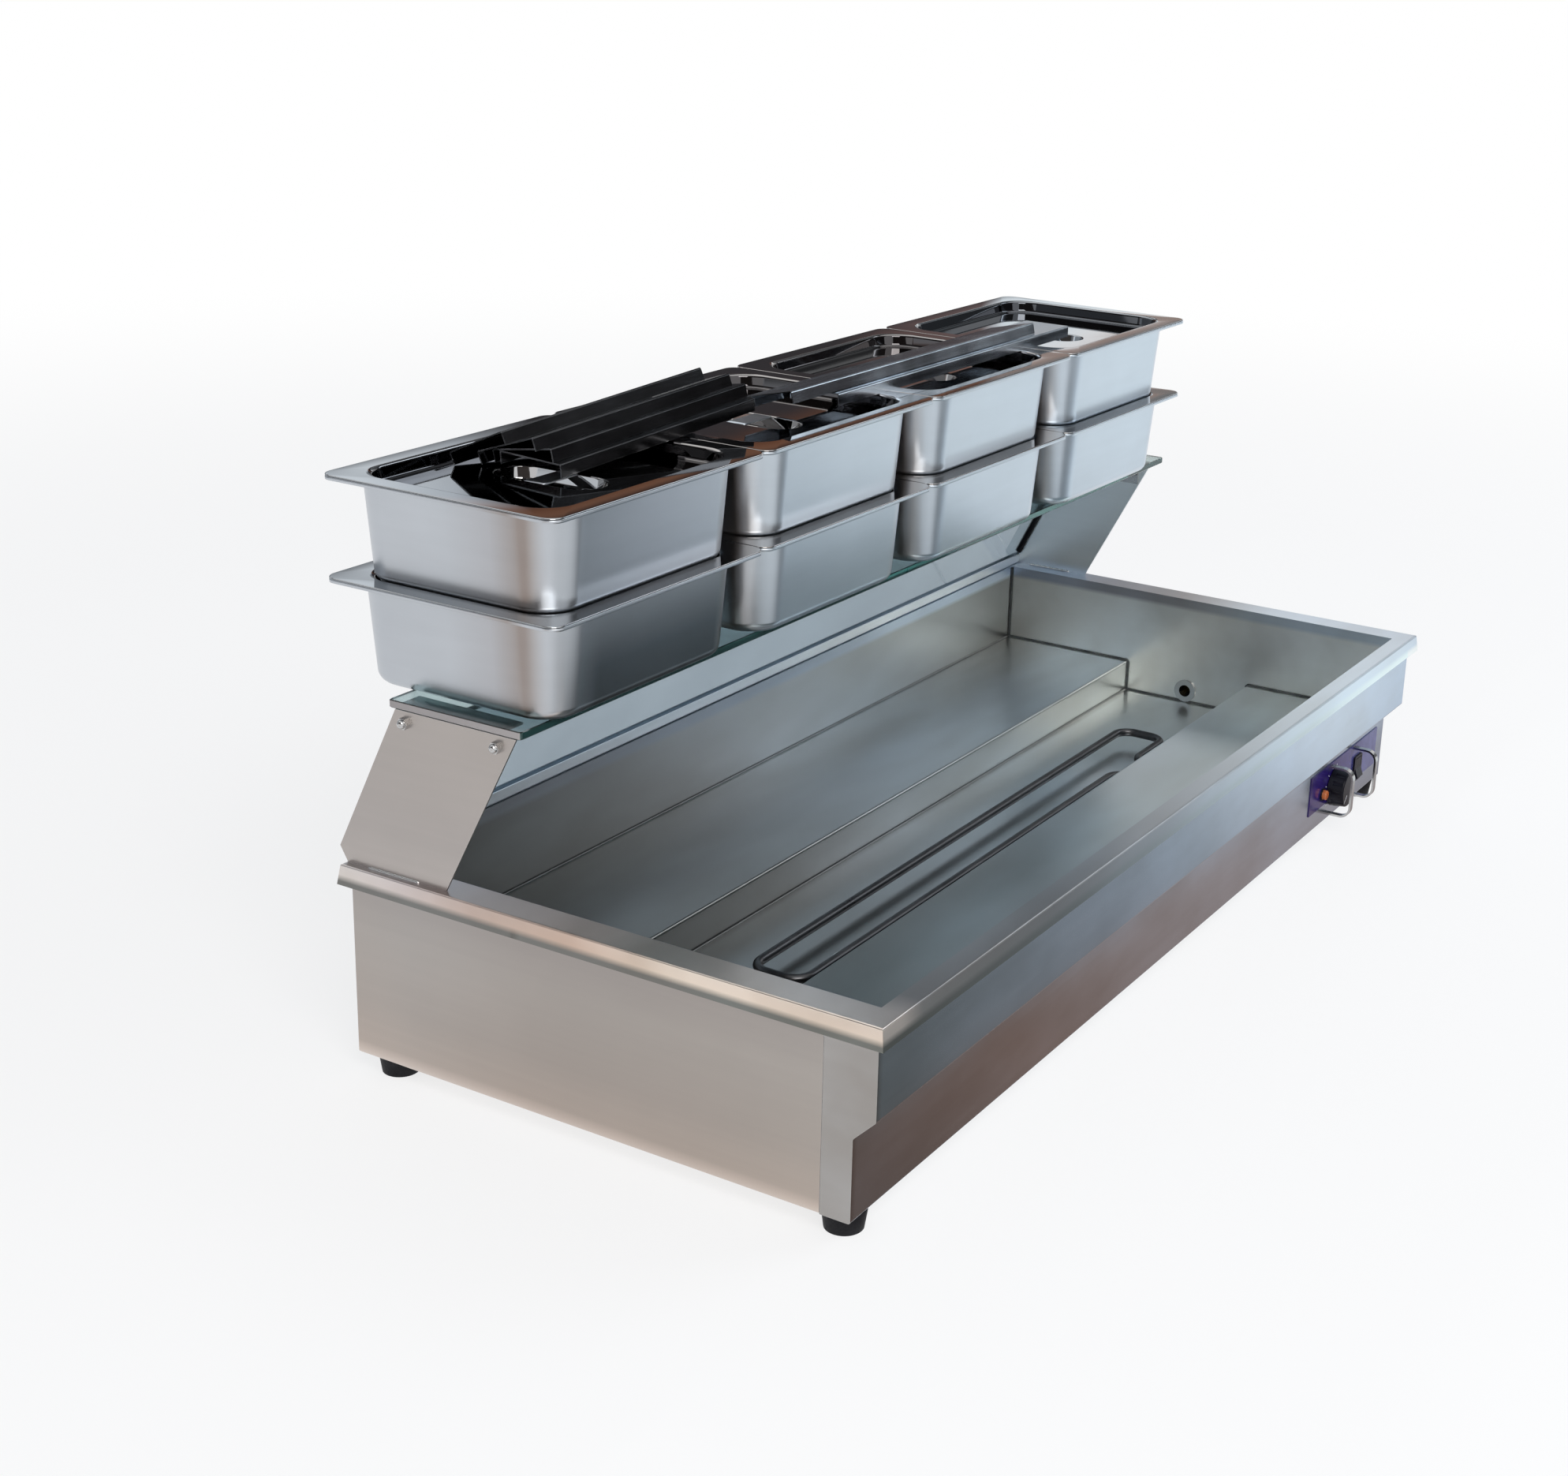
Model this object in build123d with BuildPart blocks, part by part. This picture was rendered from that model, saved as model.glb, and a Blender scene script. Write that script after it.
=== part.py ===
from build123d import *
from math import asin, atan2, cos, degrees, radians, sin, sqrt, tan
import os

os.makedirs("parts", exist_ok=True)

# Table-top bain-marie food warmer with a glass shelf, stacked pans and loose support bars.
# Millimetres. X runs along the length, the controls face -Y, Z rises from the floor.

# Half-size gastronorm pans and their lids
columns = 4
pan_length = 325.0
pan_width = 265.0
pan_gap = 1.0
pan_depth = 100.0
pan_sheet = 1.0
pan_land = 14.0
pan_edge = 3.5
pan_draft = 4.6
pan_corner = 45.0
pan_rim_corner = 14.0
pan_bottom_radius = 12.0
lid_sheet = 1.2
lid_seat = 6.0
lid_recess = 14.0
lid_draft = 10.0
grip_length = 120.0
grip_width = 50.0
grip_depth = 14.0
grip_draft = 15.0
strap_width = 22.0
strap_sheet = 2.0
seat_gap = 0.3

# Water tank with its rim
sheet = 1.2
fold_radius = 3.0
edge_radius = 2.0
foot_height = 20.0
body_height = 196.0
opening_length = 1264.0
opening_width = 548.0
rim_end = 33.0
rim_side = 21.0
lip_height = 20.0
lip_flare = 8.0
ledge_depth = 101.0
trough_depth = 142.0
trough_width = 174.0
trough_shift = 3.0
bead = 2.0

# Outer casing
lip_overhang = 7.0
front_upper_drop = 92.0
front_step = 22.0
front_wrap = 53.0
front_flange = 30.0
panel_flange = 40.0
panel_fold = 2.5
seam_gap = 0.3
base_margin = 2.0
vent_length = 90.0
vent_width = 6.0
vent_rows = 2
vent_columns = 4
vent_pitch_x = 260.0
vent_pitch_y = 60.0

# Feet and their screws
foot_top_radius = 21.0
foot_tip_radius = 18.0
foot_inset_end = 25.0
foot_inset_rear = 30.0
foot_inset_front = 21.0
foot_screw_radius = 3.0
foot_head_radius = 5.5
foot_head_height = 3.5
foot_head_recess = 9.0
screw_rise = 4.0
screw_clearance = 0.2

# Heating loop in the trough
element_radius = 5.0
element_clear = 11.0
element_left_gap = 220.0
element_right_gap = 197.0
element_rear = 4.0
element_front = -56.0
element_bend = 20.0
element_leg_offset = 95.0
element_leg_pitch = 50.0
element_tail = 32.0
gland_fit = 0.1
gland_collar_radius = 10.0
gland_collar = 4.0
gland_neck_radius = 7.5
gland_nut_flats = 10.0
gland_nut = 8.0
clip_count = 3
clip_offset = 72.0
clip_last_gap = 70.0
clip_sheet = 1.5
clip_width = 10.0
clip_rise = 14.0
clip_hook = 8.0
clip_fold = 2.0

# Controls on the recessed lower front
plate_margin = 26.0
plate_length = 232.0
plate_low = 45.0
plate_high = 95.0
plate_sheet = 1.2
knob_offset = 80.0
knob_z = 61.0
knob_radius = 24.0
knob_draft = 6.0
knob_height = 20.0
knob_gap = 1.0
knob_cap = 5.0
knob_edge = 2.0
knob_skirt = 5.0
knob_flutes = 12
knob_flute_radius = 4.0
knob_flute_depth = 2.0
shaft_radius = 3.0
shaft_run = 0.05
shaft_inside = 14.0
shaft_end_gap = 0.5
bushing_radius = 5.0
thermostat_width = 46.0
thermostat_height = 34.0
thermostat_depth = 36.0
thermostat_corner = 3.0
bulb_radius = 3.2
bulb_length = 90.0
bulb_drop = 36.0
capillary_radius = 1.2
lamp_offset = 42.0
lamp_z = 62.0
lamp_bezel_radius = 8.0
lamp_bezel = 2.0
lamp_barrel_radius = 5.0
lamp_barrel = 26.0
lamp_lens_radius = 6.0
lamp_lens_rise = 5.0
lamp_lens_edge = 2.0
switch_offset = 162.0
switch_z = 61.0
switch_width = 26.0
switch_height = 34.0
switch_corner = 2.0
switch_bezel = 2.5
switch_wall = 3.0
switch_body_depth = 24.0
switch_body_inset = 1.0
rocker_gap = 0.6
rocker_angle = 10.0
rocker_pin_radius = 1.5
rocker_pin_run = 0.05
rocker_pin_sink = 3.0
rocker_pin_length = 1.2
guard_offset = 66.0
guard_pitch = 82.0
guard_low = 29.0
guard_high = 93.0
guard_reach = 32.0
guard_bend = 14.0
guard_width = 8.0
guard_sheet = 2.5
guard_stud_radius = 2.0
guard_stud_length = 6.0
guard_nut_flats = 4.0
guard_nut = 3.2

# Supply entry on the hidden right end
entry_margin = 108.0
entry_z = 60.0
entry_thread_radius = 10.0
entry_bore_radius = 5.0
entry_flats = 13.0
entry_hex = 8.0
entry_dome = 12.0
entry_dome_radius = 11.5
entry_dome_draft = 12.0
entry_nut = 6.0
entry_thread = 11.0
block_margin = 98.0
block_setback = 138.0
block_length = 66.0
block_width = 22.0
block_height = 24.0
block_poles = 4
block_screw_radius = 3.0
block_screw_depth = 6.0

# Drain on the hidden right end
drain_rise = 15.5
drain_flange_radius = 15.0
drain_flange = 2.5
drain_bore_radius = 8.0
drain_pipe_radius = 12.0
drain_nut_flats = 16.0
drain_nut = 8.0
drain_stub = 10.0
drain_panel_gap = 0.8
valve_radius = 17.0
valve_end_radius = 14.0
valve_length = 44.0
valve_end = 8.0
valve_neck_radius = 8.0
valve_neck_rise = 8.0
ball_radius = 13.0
ball_gap = 0.3
stem_radius = 3.5
stem_run = 0.05
lever_length = 78.0
lever_hub_radius = 8.0
lever_tip_radius = 6.0
lever_sheet = 3.0
lever_gap = 0.5
stem_head_rise = 1.5
spout_bend = 24.0
spout_drop = 16.0
spout_wall = 3.0

# Shelf brackets and glass
bracket_inset_end = 1.0
bracket_inset_rear = 2.0
bracket_sheet = 2.0
bracket_height = 165.0
bracket_foot = 119.0
bracket_setback = 65.0
bracket_head = 139.0
bracket_toe_out = 9.0
bracket_toe_rise = 15.0
bolt_drop = 11.0
bolt_inset_front = 21.6
bolt_inset_rear = 11.5
bolt_radius = 3.0
bolt_head_radius = 5.0
bolt_head = 3.3
cap_nut_flats = 5.0
cap_nut = 5.0
cap_dome_radius = 4.4
angle_leg = 26.0
angle_sheet = 2.0
angle_inset_front = 15.0
angle_inset_rear = 4.0
shelf_lead = 5.0
shelf_depth = 152.0
shelf_sheet = 8.0
shelf_overhang = 30.0
shelf_edge = 0.8
channel_width = 17.0
channel_height = 12.0
channel_sheet = 1.5
channel_fold = 2.0
guard_glass_sheet = 6.0
guard_glass_top_gap = 30.0
seal_sheet = 4.0
seal_width = 12.0
seal_inset = 16.0

# Stacked pans and bars
stack_inset = 1.0
stack_lead = 38.0
bar_lip = 13.0
bar_sheet = 1.2
bar_fold = 2.0
long_bar_length = 530.0
long_bar_web = 60.0
long_bar_start = 145.0
long_bar_inset = 60.0
long_bar_slides = (76.0, 0.0)
long_bar_steps = (8.0,)
short_bar_length = 270.0
short_bar_web = 80.0
short_bar_offset = 128.0
short_bar_inset = 118.0
short_bar_skew = -7.0
short_bar_slides = (28.0, 28.0, 16.0, 0.0)
short_bar_steps = (10.0, 8.0, 20.0)

# Levels and faces that follow from the sizes above
rim_top = foot_height + body_height
rim_under = rim_top - sheet
rim_length = opening_length + 2 * rim_end
rim_width = opening_width + 2 * rim_side
half_opening = opening_length / 2
half_tank = opening_width / 2
ledge_z = rim_top - ledge_depth
trough_z = rim_top - trough_depth
trough_front = trough_shift - trough_width / 2
trough_rear = trough_shift + trough_width / 2
drain_z = trough_z + drain_rise
casing_x = rim_length / 2 - lip_overhang
casing_y = rim_width / 2 - lip_overhang
front_face = -(casing_y - front_step)
front_inside = front_face + sheet
front_upper_low = rim_top - front_upper_drop
front_lower_high = front_upper_low - front_step
front_seam = -casing_y + front_wrap
base_under = foot_height + sheet
base_top = base_under + sheet
plate_face = front_face - plate_sheet
entry_y = entry_margin - casing_y
block_y = block_setback - casing_y
plate_right = casing_x - plate_margin
plate_left = plate_right - plate_length
knob_x = plate_left + knob_offset
lamp_x = plate_left + lamp_offset
switch_x = plate_left + switch_offset
guard_spots = (plate_left + guard_offset, plate_left + guard_offset + guard_pitch)
element_z = trough_z + element_clear + element_radius
element_left = element_left_gap - half_opening
element_right = half_opening - element_right_gap
element_leg_2 = element_right - element_leg_offset
element_leg_1 = element_leg_2 - element_leg_pitch
clip_left = element_left + clip_offset
clip_pitch = (element_leg_1 - clip_last_gap - clip_left) / (clip_count - 1)
bracket_face = casing_x - bracket_inset_end
bracket_inside = bracket_face - bracket_sheet
bracket_foot_rear = rim_width / 2 - bracket_inset_rear
bracket_foot_front = bracket_foot_rear - bracket_foot
bracket_top_rear = bracket_foot_rear - bracket_setback
bracket_top_front = bracket_top_rear - bracket_head
bracket_top = rim_top + bracket_height
angle_front = bracket_top_front + angle_inset_front
angle_rear = bracket_top_rear - angle_inset_rear
shelf_front = bracket_top_front - shelf_lead
shelf_top = bracket_top + shelf_sheet
stack_left = stack_inset - bracket_face
stack_front = shelf_front - stack_lead
lower_rim = shelf_top + pan_depth
lower_lid_top = lower_rim + lid_sheet
upper_rim = lower_lid_top - lid_seat + pan_depth
upper_lid_top = upper_rim + lid_sheet

foot_x = casing_x - foot_inset_end
foot_spots = [
    (side * foot_x, y)
    for side in (-1, 1)
    for y in (front_face + foot_inset_front, casing_y - foot_inset_rear)
]
guard_holes = [
    (x, z)
    for x in guard_spots
    for z in (guard_low + guard_sheet / 2, guard_high - guard_sheet / 2)
]
bolt_spots = [
    (y, bracket_top - bolt_drop)
    for y in (bracket_top_front + bolt_inset_front, bracket_top_rear - bolt_inset_rear)
]


def draw_foot_holes():
    """Clearance holes for the foot screws in the active sketch."""
    with Locations(*foot_spots):
        Circle(foot_screw_radius + screw_clearance)


def draw_control_holes():
    """Openings for thermostat, lamp, switch and guard studs in the active sketch."""
    with Locations((knob_x, knob_z)):
        Circle(bushing_radius + screw_clearance)
    with Locations((lamp_x, lamp_z)):
        Circle(lamp_barrel_radius + screw_clearance)
    with Locations((switch_x, switch_z)):
        Rectangle(
            switch_width - 2 * (switch_body_inset - screw_clearance),
            switch_height - 2 * (switch_body_inset - screw_clearance),
        )
    with Locations(*guard_holes):
        Circle(guard_stud_radius + screw_clearance)


# The inside of the folded tank, seen along X, from the front rim to the rear rim
tank_folds = (
    (-half_tank, rim_under),
    (-half_tank, ledge_z),
    (trough_front, ledge_z),
    (trough_front, trough_z),
    (trough_rear, trough_z),
    (trough_rear, ledge_z),
    (half_tank, ledge_z),
    (half_tank, rim_under),
)

# Tank: rim with a flared lip, folded body with ledges and trough, two welded end walls
with BuildPart() as tank:
    with BuildSketch(Plane.XY.offset(rim_top)):
        Rectangle(rim_length, rim_width)
    extrude(amount=-lip_height, taper=-lip_flare)
    fillet(tank.edges().group_by(Axis.Z)[-1], edge_radius)
    with BuildSketch(Plane.XY.offset(rim_under)):
        Rectangle(rim_length - 2 * sheet, rim_width - 2 * sheet)
    extrude(amount=-lip_height, taper=-lip_flare, mode=Mode.SUBTRACT)
    with BuildSketch(Plane.XY.offset(rim_under)):
        Rectangle(opening_length, opening_width)
    extrude(amount=sheet, mode=Mode.SUBTRACT)
    with BuildSketch(Plane.YZ):
        with BuildLine():
            FilletPolyline(*tank_folds, radius=fold_radius)
            offset(amount=sheet, side=Side.RIGHT)
        make_face()
    extrude(amount=half_opening + sheet, both=True)
    for side in (-1, 1):
        with BuildSketch(Plane.YZ.offset(side * half_opening)):
            with BuildLine():
                Polyline(*tank_folds, close=True)
            make_face()
        extrude(amount=side * sheet)
    with BuildSketch(Plane.YZ.offset(half_opening)):
        with Locations((trough_shift, drain_z)):
            Circle(drain_pipe_radius + screw_clearance)
    extrude(amount=sheet, mode=Mode.SUBTRACT)
    with BuildSketch(Plane.XZ.offset(-trough_front)):
        with Locations((element_leg_1, element_z), (element_leg_2, element_z)):
            Circle(gland_neck_radius + screw_clearance)
    extrude(amount=sheet, mode=Mode.SUBTRACT)
tank.part.label = "tank"
export_step(tank.part, "parts/tank.step")

# Dark sealant bead along the welded corner of both end walls
with BuildPart() as seam_sealant:
    for side in (-1, 1):
        with BuildSketch(Plane.YZ.offset(side * half_opening)):
            with BuildLine():
                FilletPolyline(*tank_folds, radius=fold_radius)
                offset(amount=bead, side=Side.LEFT)
            make_face()
        extrude(amount=-side * bead)
    with BuildSketch(Plane.YZ.offset(half_opening)):
        with Locations((trough_shift, drain_z)):
            Circle(drain_flange_radius + seam_gap)
    extrude(amount=-bead, mode=Mode.SUBTRACT)
seam_sealant.part.label = "seam_sealant"
export_step(seam_sealant.part, "parts/seam_sealant.step")

# Front panel: upper face, slanted step, recessed lower face, wrapped ends
front_folds = (
    (-casing_y, rim_under),
    (-casing_y, front_upper_low),
    (front_face, front_lower_high),
    (front_face, foot_height),
)
with BuildPart() as front_panel:
    with BuildSketch(Plane.YZ):
        with BuildLine():
            FilletPolyline(*front_folds, (front_face + front_flange, foot_height), radius=panel_fold)
            offset(amount=sheet, side=Side.LEFT)
        make_face()
    extrude(amount=casing_x, both=True)
    for side in (-1, 1):
        with BuildSketch(Plane.YZ.offset(side * casing_x)):
            with BuildLine():
                edge = FilletPolyline(*front_folds, (front_seam, foot_height), radius=panel_fold)
                Polyline(edge @ 1, (front_seam, rim_under), edge @ 0)
            make_face()
        extrude(amount=-side * sheet)
    with BuildSketch(Plane.XZ.offset(-front_face)):
        draw_control_holes()
    extrude(amount=-sheet, mode=Mode.SUBTRACT)
    with BuildSketch(Plane.XY.offset(foot_height)):
        draw_foot_holes()
    extrude(amount=sheet, mode=Mode.SUBTRACT)
front_panel.part.label = "front_panel"
export_step(front_panel.part, "parts/front_panel.step")

# End panels with a base flange, notched at the rear corner
for side, end_name in ((-1, "left_end_panel"), (1, "right_end_panel")):
    with BuildPart() as end_panel:
        with BuildSketch(Plane.XZ.offset(-casing_y)):
            with BuildLine():
                FilletPolyline(
                    (side * casing_x, rim_under),
                    (side * casing_x, foot_height),
                    (side * (casing_x - panel_flange), foot_height),
                    radius=panel_fold,
                )
                offset(amount=sheet, side=Side.LEFT if side < 0 else Side.RIGHT)
            make_face()
        extrude(amount=casing_y - front_seam - seam_gap)
        with BuildSketch(Plane.XY.offset(foot_height)):
            with Locations((side * (casing_x - panel_fold), casing_y)):
                Rectangle(
                    panel_flange,
                    panel_flange + seam_gap,
                    align=(Align.MIN if side < 0 else Align.MAX, Align.MAX),
                )
        extrude(amount=sheet, mode=Mode.SUBTRACT)
        if side > 0:
            with BuildSketch(Plane.YZ.offset(casing_x)):
                with Locations((trough_shift, drain_z)):
                    Circle(drain_pipe_radius + drain_panel_gap)
                with Locations((entry_y, entry_z)):
                    Circle(entry_thread_radius + screw_clearance)
            extrude(amount=-sheet, mode=Mode.SUBTRACT)
    end_panel.part.label = end_name
    export_step(end_panel.part, f"parts/{end_name}.step")

# Rear panel between the end panels
with BuildPart() as rear_panel:
    with BuildSketch(Plane.YZ):
        with BuildLine():
            FilletPolyline(
                (casing_y, rim_under),
                (casing_y, foot_height),
                (casing_y - panel_flange, foot_height),
                radius=panel_fold,
            )
            offset(amount=sheet, side=Side.RIGHT)
        make_face()
    extrude(amount=casing_x - panel_fold - seam_gap, both=True)
    with BuildSketch(Plane.XY.offset(foot_height)):
        draw_foot_holes()
    extrude(amount=sheet, mode=Mode.SUBTRACT)
rear_panel.part.label = "rear_panel"
export_step(rear_panel.part, "parts/rear_panel.step")

# Base plate lying on the panel flanges, with vent slots
base_front = front_inside + base_margin
base_rear = casing_y - sheet - base_margin
with BuildPart() as base_plate:
    with BuildSketch(Plane.XY.offset(base_under)):
        with Locations((0, (base_front + base_rear) / 2)):
            Rectangle(2 * (casing_x - sheet - base_margin), base_rear - base_front)
        with GridLocations(vent_pitch_x, vent_pitch_y, vent_columns, vent_rows):
            SlotOverall(vent_length, vent_width, mode=Mode.SUBTRACT)
    extrude(amount=sheet)
    with BuildSketch(Plane.XY.offset(base_under)):
        draw_foot_holes()
    extrude(amount=sheet, mode=Mode.SUBTRACT)
base_plate.part.label = "base_plate"
export_step(base_plate.part, "parts/base_plate.step")

# Tapered rubber feet, bored from below for their screws
with BuildPart() as rubber_feet:
    with Locations(*foot_spots):
        Cone(
            foot_tip_radius,
            foot_top_radius,
            foot_height,
            align=(Align.CENTER, Align.CENTER, Align.MIN),
        )
    with Locations(*[Location((x, y, 0), (180, 0, 0)) for x, y in foot_spots]):
        CounterBoreHole(
            foot_screw_radius + screw_clearance,
            foot_head_radius + screw_clearance,
            foot_head_recess,
            foot_height,
        )
rubber_feet.part.label = "rubber_feet"
export_step(rubber_feet.part, "parts/rubber_feet.step")

with BuildPart() as foot_screws:
    with BuildSketch(Plane.XY.offset(foot_head_recess)):
        with Locations(*foot_spots):
            Circle(foot_head_radius)
    extrude(amount=-foot_head_height)
    with BuildSketch(Plane.XY.offset(foot_head_recess)):
        with Locations(*foot_spots):
            Circle(foot_screw_radius)
    extrude(amount=base_top + screw_rise - foot_head_recess)
foot_screws.part.label = "foot_screws"
export_step(foot_screws.part, "parts/foot_screws.step")

# Heating loop: one bent tube whose two legs leave through the trough's front wall
with BuildPart() as heating_element:
    with BuildLine(Plane.XY.offset(element_z)) as loop:
        FilletPolyline(
            (element_leg_1, trough_front - element_tail),
            (element_leg_1, element_front),
            (element_left, element_front),
            (element_left, element_rear),
            (element_right, element_rear),
            (element_right, element_front),
            (element_leg_2, element_front),
            (element_leg_2, trough_front - element_tail),
            radius=element_bend,
        )
    with BuildSketch(Plane(origin=loop.line @ 0, z_dir=loop.line % 0)):
        Circle(element_radius)
    sweep()
heating_element.part.label = "heating_element"
export_step(heating_element.part, "parts/heating_element.step")

# Screwed glands that seal the legs in the wall
with BuildPart() as element_glands:
    leg_spots = ((element_leg_1, element_z), (element_leg_2, element_z))
    with BuildSketch(Plane.XZ.offset(-trough_front)):
        with Locations(*leg_spots):
            Circle(gland_collar_radius)
    extrude(amount=-gland_collar)
    with BuildSketch(Plane.XZ.offset(-trough_front)):
        with Locations(*leg_spots):
            Circle(gland_neck_radius)
    extrude(amount=sheet)
    with BuildSketch(Plane.XZ.offset(sheet - trough_front)):
        with Locations(*leg_spots):
            RegularPolygon(gland_nut_flats, 6, major_radius=False)
    extrude(amount=gland_nut)
    with BuildSketch(Plane.XZ.offset(-trough_front - gland_collar)):
        with Locations(*leg_spots):
            Circle(element_radius + gland_fit)
    extrude(amount=gland_collar + sheet + gland_nut, mode=Mode.SUBTRACT)
element_glands.part.label = "element_glands"
export_step(element_glands.part, "parts/element_glands.step")

# Hooked clips that carry the hidden front run of the loop on the trough wall
clip_under = element_z - element_radius - gland_fit - clip_sheet
clip_end = element_front + element_radius + gland_fit + clip_sheet
with BuildPart() as element_clips:
    for step in range(clip_count):
        with BuildSketch(Plane.YZ.offset(clip_left + step * clip_pitch)):
            with BuildLine():
                FilletPolyline(
                    (trough_front, element_z + clip_rise),
                    (trough_front, clip_under),
                    (clip_end, clip_under),
                    (clip_end, clip_under + clip_hook),
                    radius=clip_fold,
                )
                offset(amount=clip_sheet, side=Side.LEFT)
            make_face()
        extrude(amount=clip_width / 2, both=True)
element_clips.part.label = "element_clips"
export_step(element_clips.part, "parts/element_clips.step")

# Control plate on the lower front
with BuildPart() as control_plate:
    with BuildSketch(Plane.XZ.offset(-front_face)):
        with Locations((plate_left, plate_low)):
            Rectangle(plate_right - plate_left, plate_high - plate_low, align=Align.MIN)
    extrude(amount=plate_sheet)
    with BuildSketch(Plane.XZ.offset(-front_face)):
        draw_control_holes()
    extrude(amount=plate_sheet, mode=Mode.SUBTRACT)
control_plate.part.label = "control_plate"
export_step(control_plate.part, "parts/control_plate.step")

# Thermostat behind the panel, with the bushing that carries its shaft
with BuildPart() as thermostat_body:
    with BuildSketch(Plane.XZ.offset(-front_inside)):
        with Locations((knob_x, knob_z)):
            RectangleRounded(thermostat_width, thermostat_height, thermostat_corner)
    extrude(amount=-thermostat_depth)
    with BuildSketch(Plane.XZ.offset(-front_inside)):
        with Locations((knob_x, knob_z)):
            Circle(bushing_radius)
    extrude(amount=sheet + plate_sheet)
    with BuildSketch(Plane.XZ.offset(-plate_face)):
        with Locations((knob_x, knob_z)):
            Circle(shaft_radius + shaft_run)
    extrude(amount=-shaft_inside - shaft_end_gap, mode=Mode.SUBTRACT)
thermostat_body.part.label = "thermostat_body"
export_step(thermostat_body.part, "parts/thermostat_body.step")

with BuildPart() as thermostat_shaft:
    with BuildSketch(Plane.XZ.offset(-plate_face - shaft_inside)):
        with Locations((knob_x, knob_z)):
            Circle(shaft_radius)
    extrude(amount=shaft_inside + knob_gap + knob_height - knob_cap)
thermostat_shaft.part.label = "thermostat_shaft"
export_step(thermostat_shaft.part, "parts/thermostat_shaft.step")

# Fluted knob over a plain skirt
with BuildPart() as thermostat_knob:
    knob_base = Plane.XZ.offset(knob_gap - plate_face)
    with BuildSketch(knob_base):
        with Locations((knob_x, knob_z)):
            Circle(knob_radius)
    extrude(amount=knob_height, taper=knob_draft)
    fillet(thermostat_knob.edges().group_by(Axis.Y)[0], knob_edge)
    with BuildSketch(knob_base.offset(knob_skirt)):
        with Locations((knob_x, knob_z)):
            with PolarLocations(knob_radius + knob_flute_radius - knob_flute_depth, knob_flutes):
                Circle(knob_flute_radius)
    extrude(amount=knob_height, mode=Mode.SUBTRACT)
    with BuildSketch(knob_base):
        with Locations((knob_x, knob_z)):
            Circle(shaft_radius + shaft_run)
    extrude(amount=knob_height - knob_cap, mode=Mode.SUBTRACT)
thermostat_knob.part.label = "thermostat_knob"
export_step(thermostat_knob.part, "parts/thermostat_knob.step")

# Sensor bulb on the dry side of the trough wall, with its line to the thermostat
bulb_y = trough_front - sheet - seam_gap - bulb_radius
bulb_z = ledge_z - bulb_drop
with BuildPart() as sensor_bulb:
    with BuildSketch(Plane.YZ.offset(knob_x)):
        with Locations((bulb_y, bulb_z)):
            Circle(bulb_radius)
    extrude(amount=bulb_length / 2, both=True)
    with BuildSketch(Plane.XZ.offset(-front_inside - thermostat_depth)):
        with Locations((knob_x, bulb_z)):
            Circle(capillary_radius)
    extrude(amount=front_inside + thermostat_depth - bulb_y)
sensor_bulb.part.label = "sensor_bulb"
export_step(sensor_bulb.part, "parts/sensor_bulb.step")

# Indicator lamp: bezel with barrel, and the lens on it
with BuildPart() as lamp_body:
    with BuildSketch(Plane.XZ.offset(-plate_face)):
        with Locations((lamp_x, lamp_z)):
            Circle(lamp_bezel_radius)
    extrude(amount=lamp_bezel)
    with BuildSketch(Plane.XZ.offset(-plate_face)):
        with Locations((lamp_x, lamp_z)):
            Circle(lamp_barrel_radius)
    extrude(amount=-lamp_barrel)
lamp_body.part.label = "lamp_body"
export_step(lamp_body.part, "parts/lamp_body.step")

with BuildPart() as lamp_lens:
    with BuildSketch(Plane.XZ.offset(lamp_bezel - plate_face)):
        with Locations((lamp_x, lamp_z)):
            Circle(lamp_lens_radius)
    extrude(amount=lamp_lens_rise)
    fillet(lamp_lens.edges().group_by(Axis.Y)[0], lamp_lens_edge)
lamp_lens.part.label = "lamp_lens"
export_step(lamp_lens.part, "parts/lamp_lens.step")

# Power switch: housing with a pocket, and the rocker turning on its pins
pocket_width = switch_width - 2 * switch_wall
pocket_height = switch_height - 2 * switch_wall
rocker_radius = pocket_height / 2 - rocker_gap
rocker_pivot_y = plate_face - switch_bezel + rocker_pin_sink
with BuildPart() as switch_housing:
    with BuildSketch(Plane.XZ.offset(-plate_face)):
        with Locations((switch_x, switch_z)):
            RectangleRounded(switch_width, switch_height, switch_corner)
    extrude(amount=switch_bezel)
    with BuildSketch(Plane.XZ.offset(-plate_face)):
        with Locations((switch_x, switch_z)):
            Rectangle(switch_width - 2 * switch_body_inset, switch_height - 2 * switch_body_inset)
    extrude(amount=-switch_body_depth)
    with BuildSketch(Plane.XZ.offset(switch_bezel - plate_face)):
        with Locations((switch_x, switch_z)):
            Rectangle(pocket_width, pocket_height)
    extrude(amount=-rocker_pin_sink - rocker_radius - rocker_gap, mode=Mode.SUBTRACT)
    with BuildSketch(Plane.YZ.offset(switch_x)):
        with Locations((rocker_pivot_y, switch_z)):
            Circle(rocker_pin_radius + rocker_pin_run)
    extrude(
        amount=pocket_width / 2 + rocker_pin_length - rocker_pin_run,
        both=True,
        mode=Mode.SUBTRACT,
    )
switch_housing.part.label = "switch_housing"
export_step(switch_housing.part, "parts/switch_housing.step")

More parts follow.
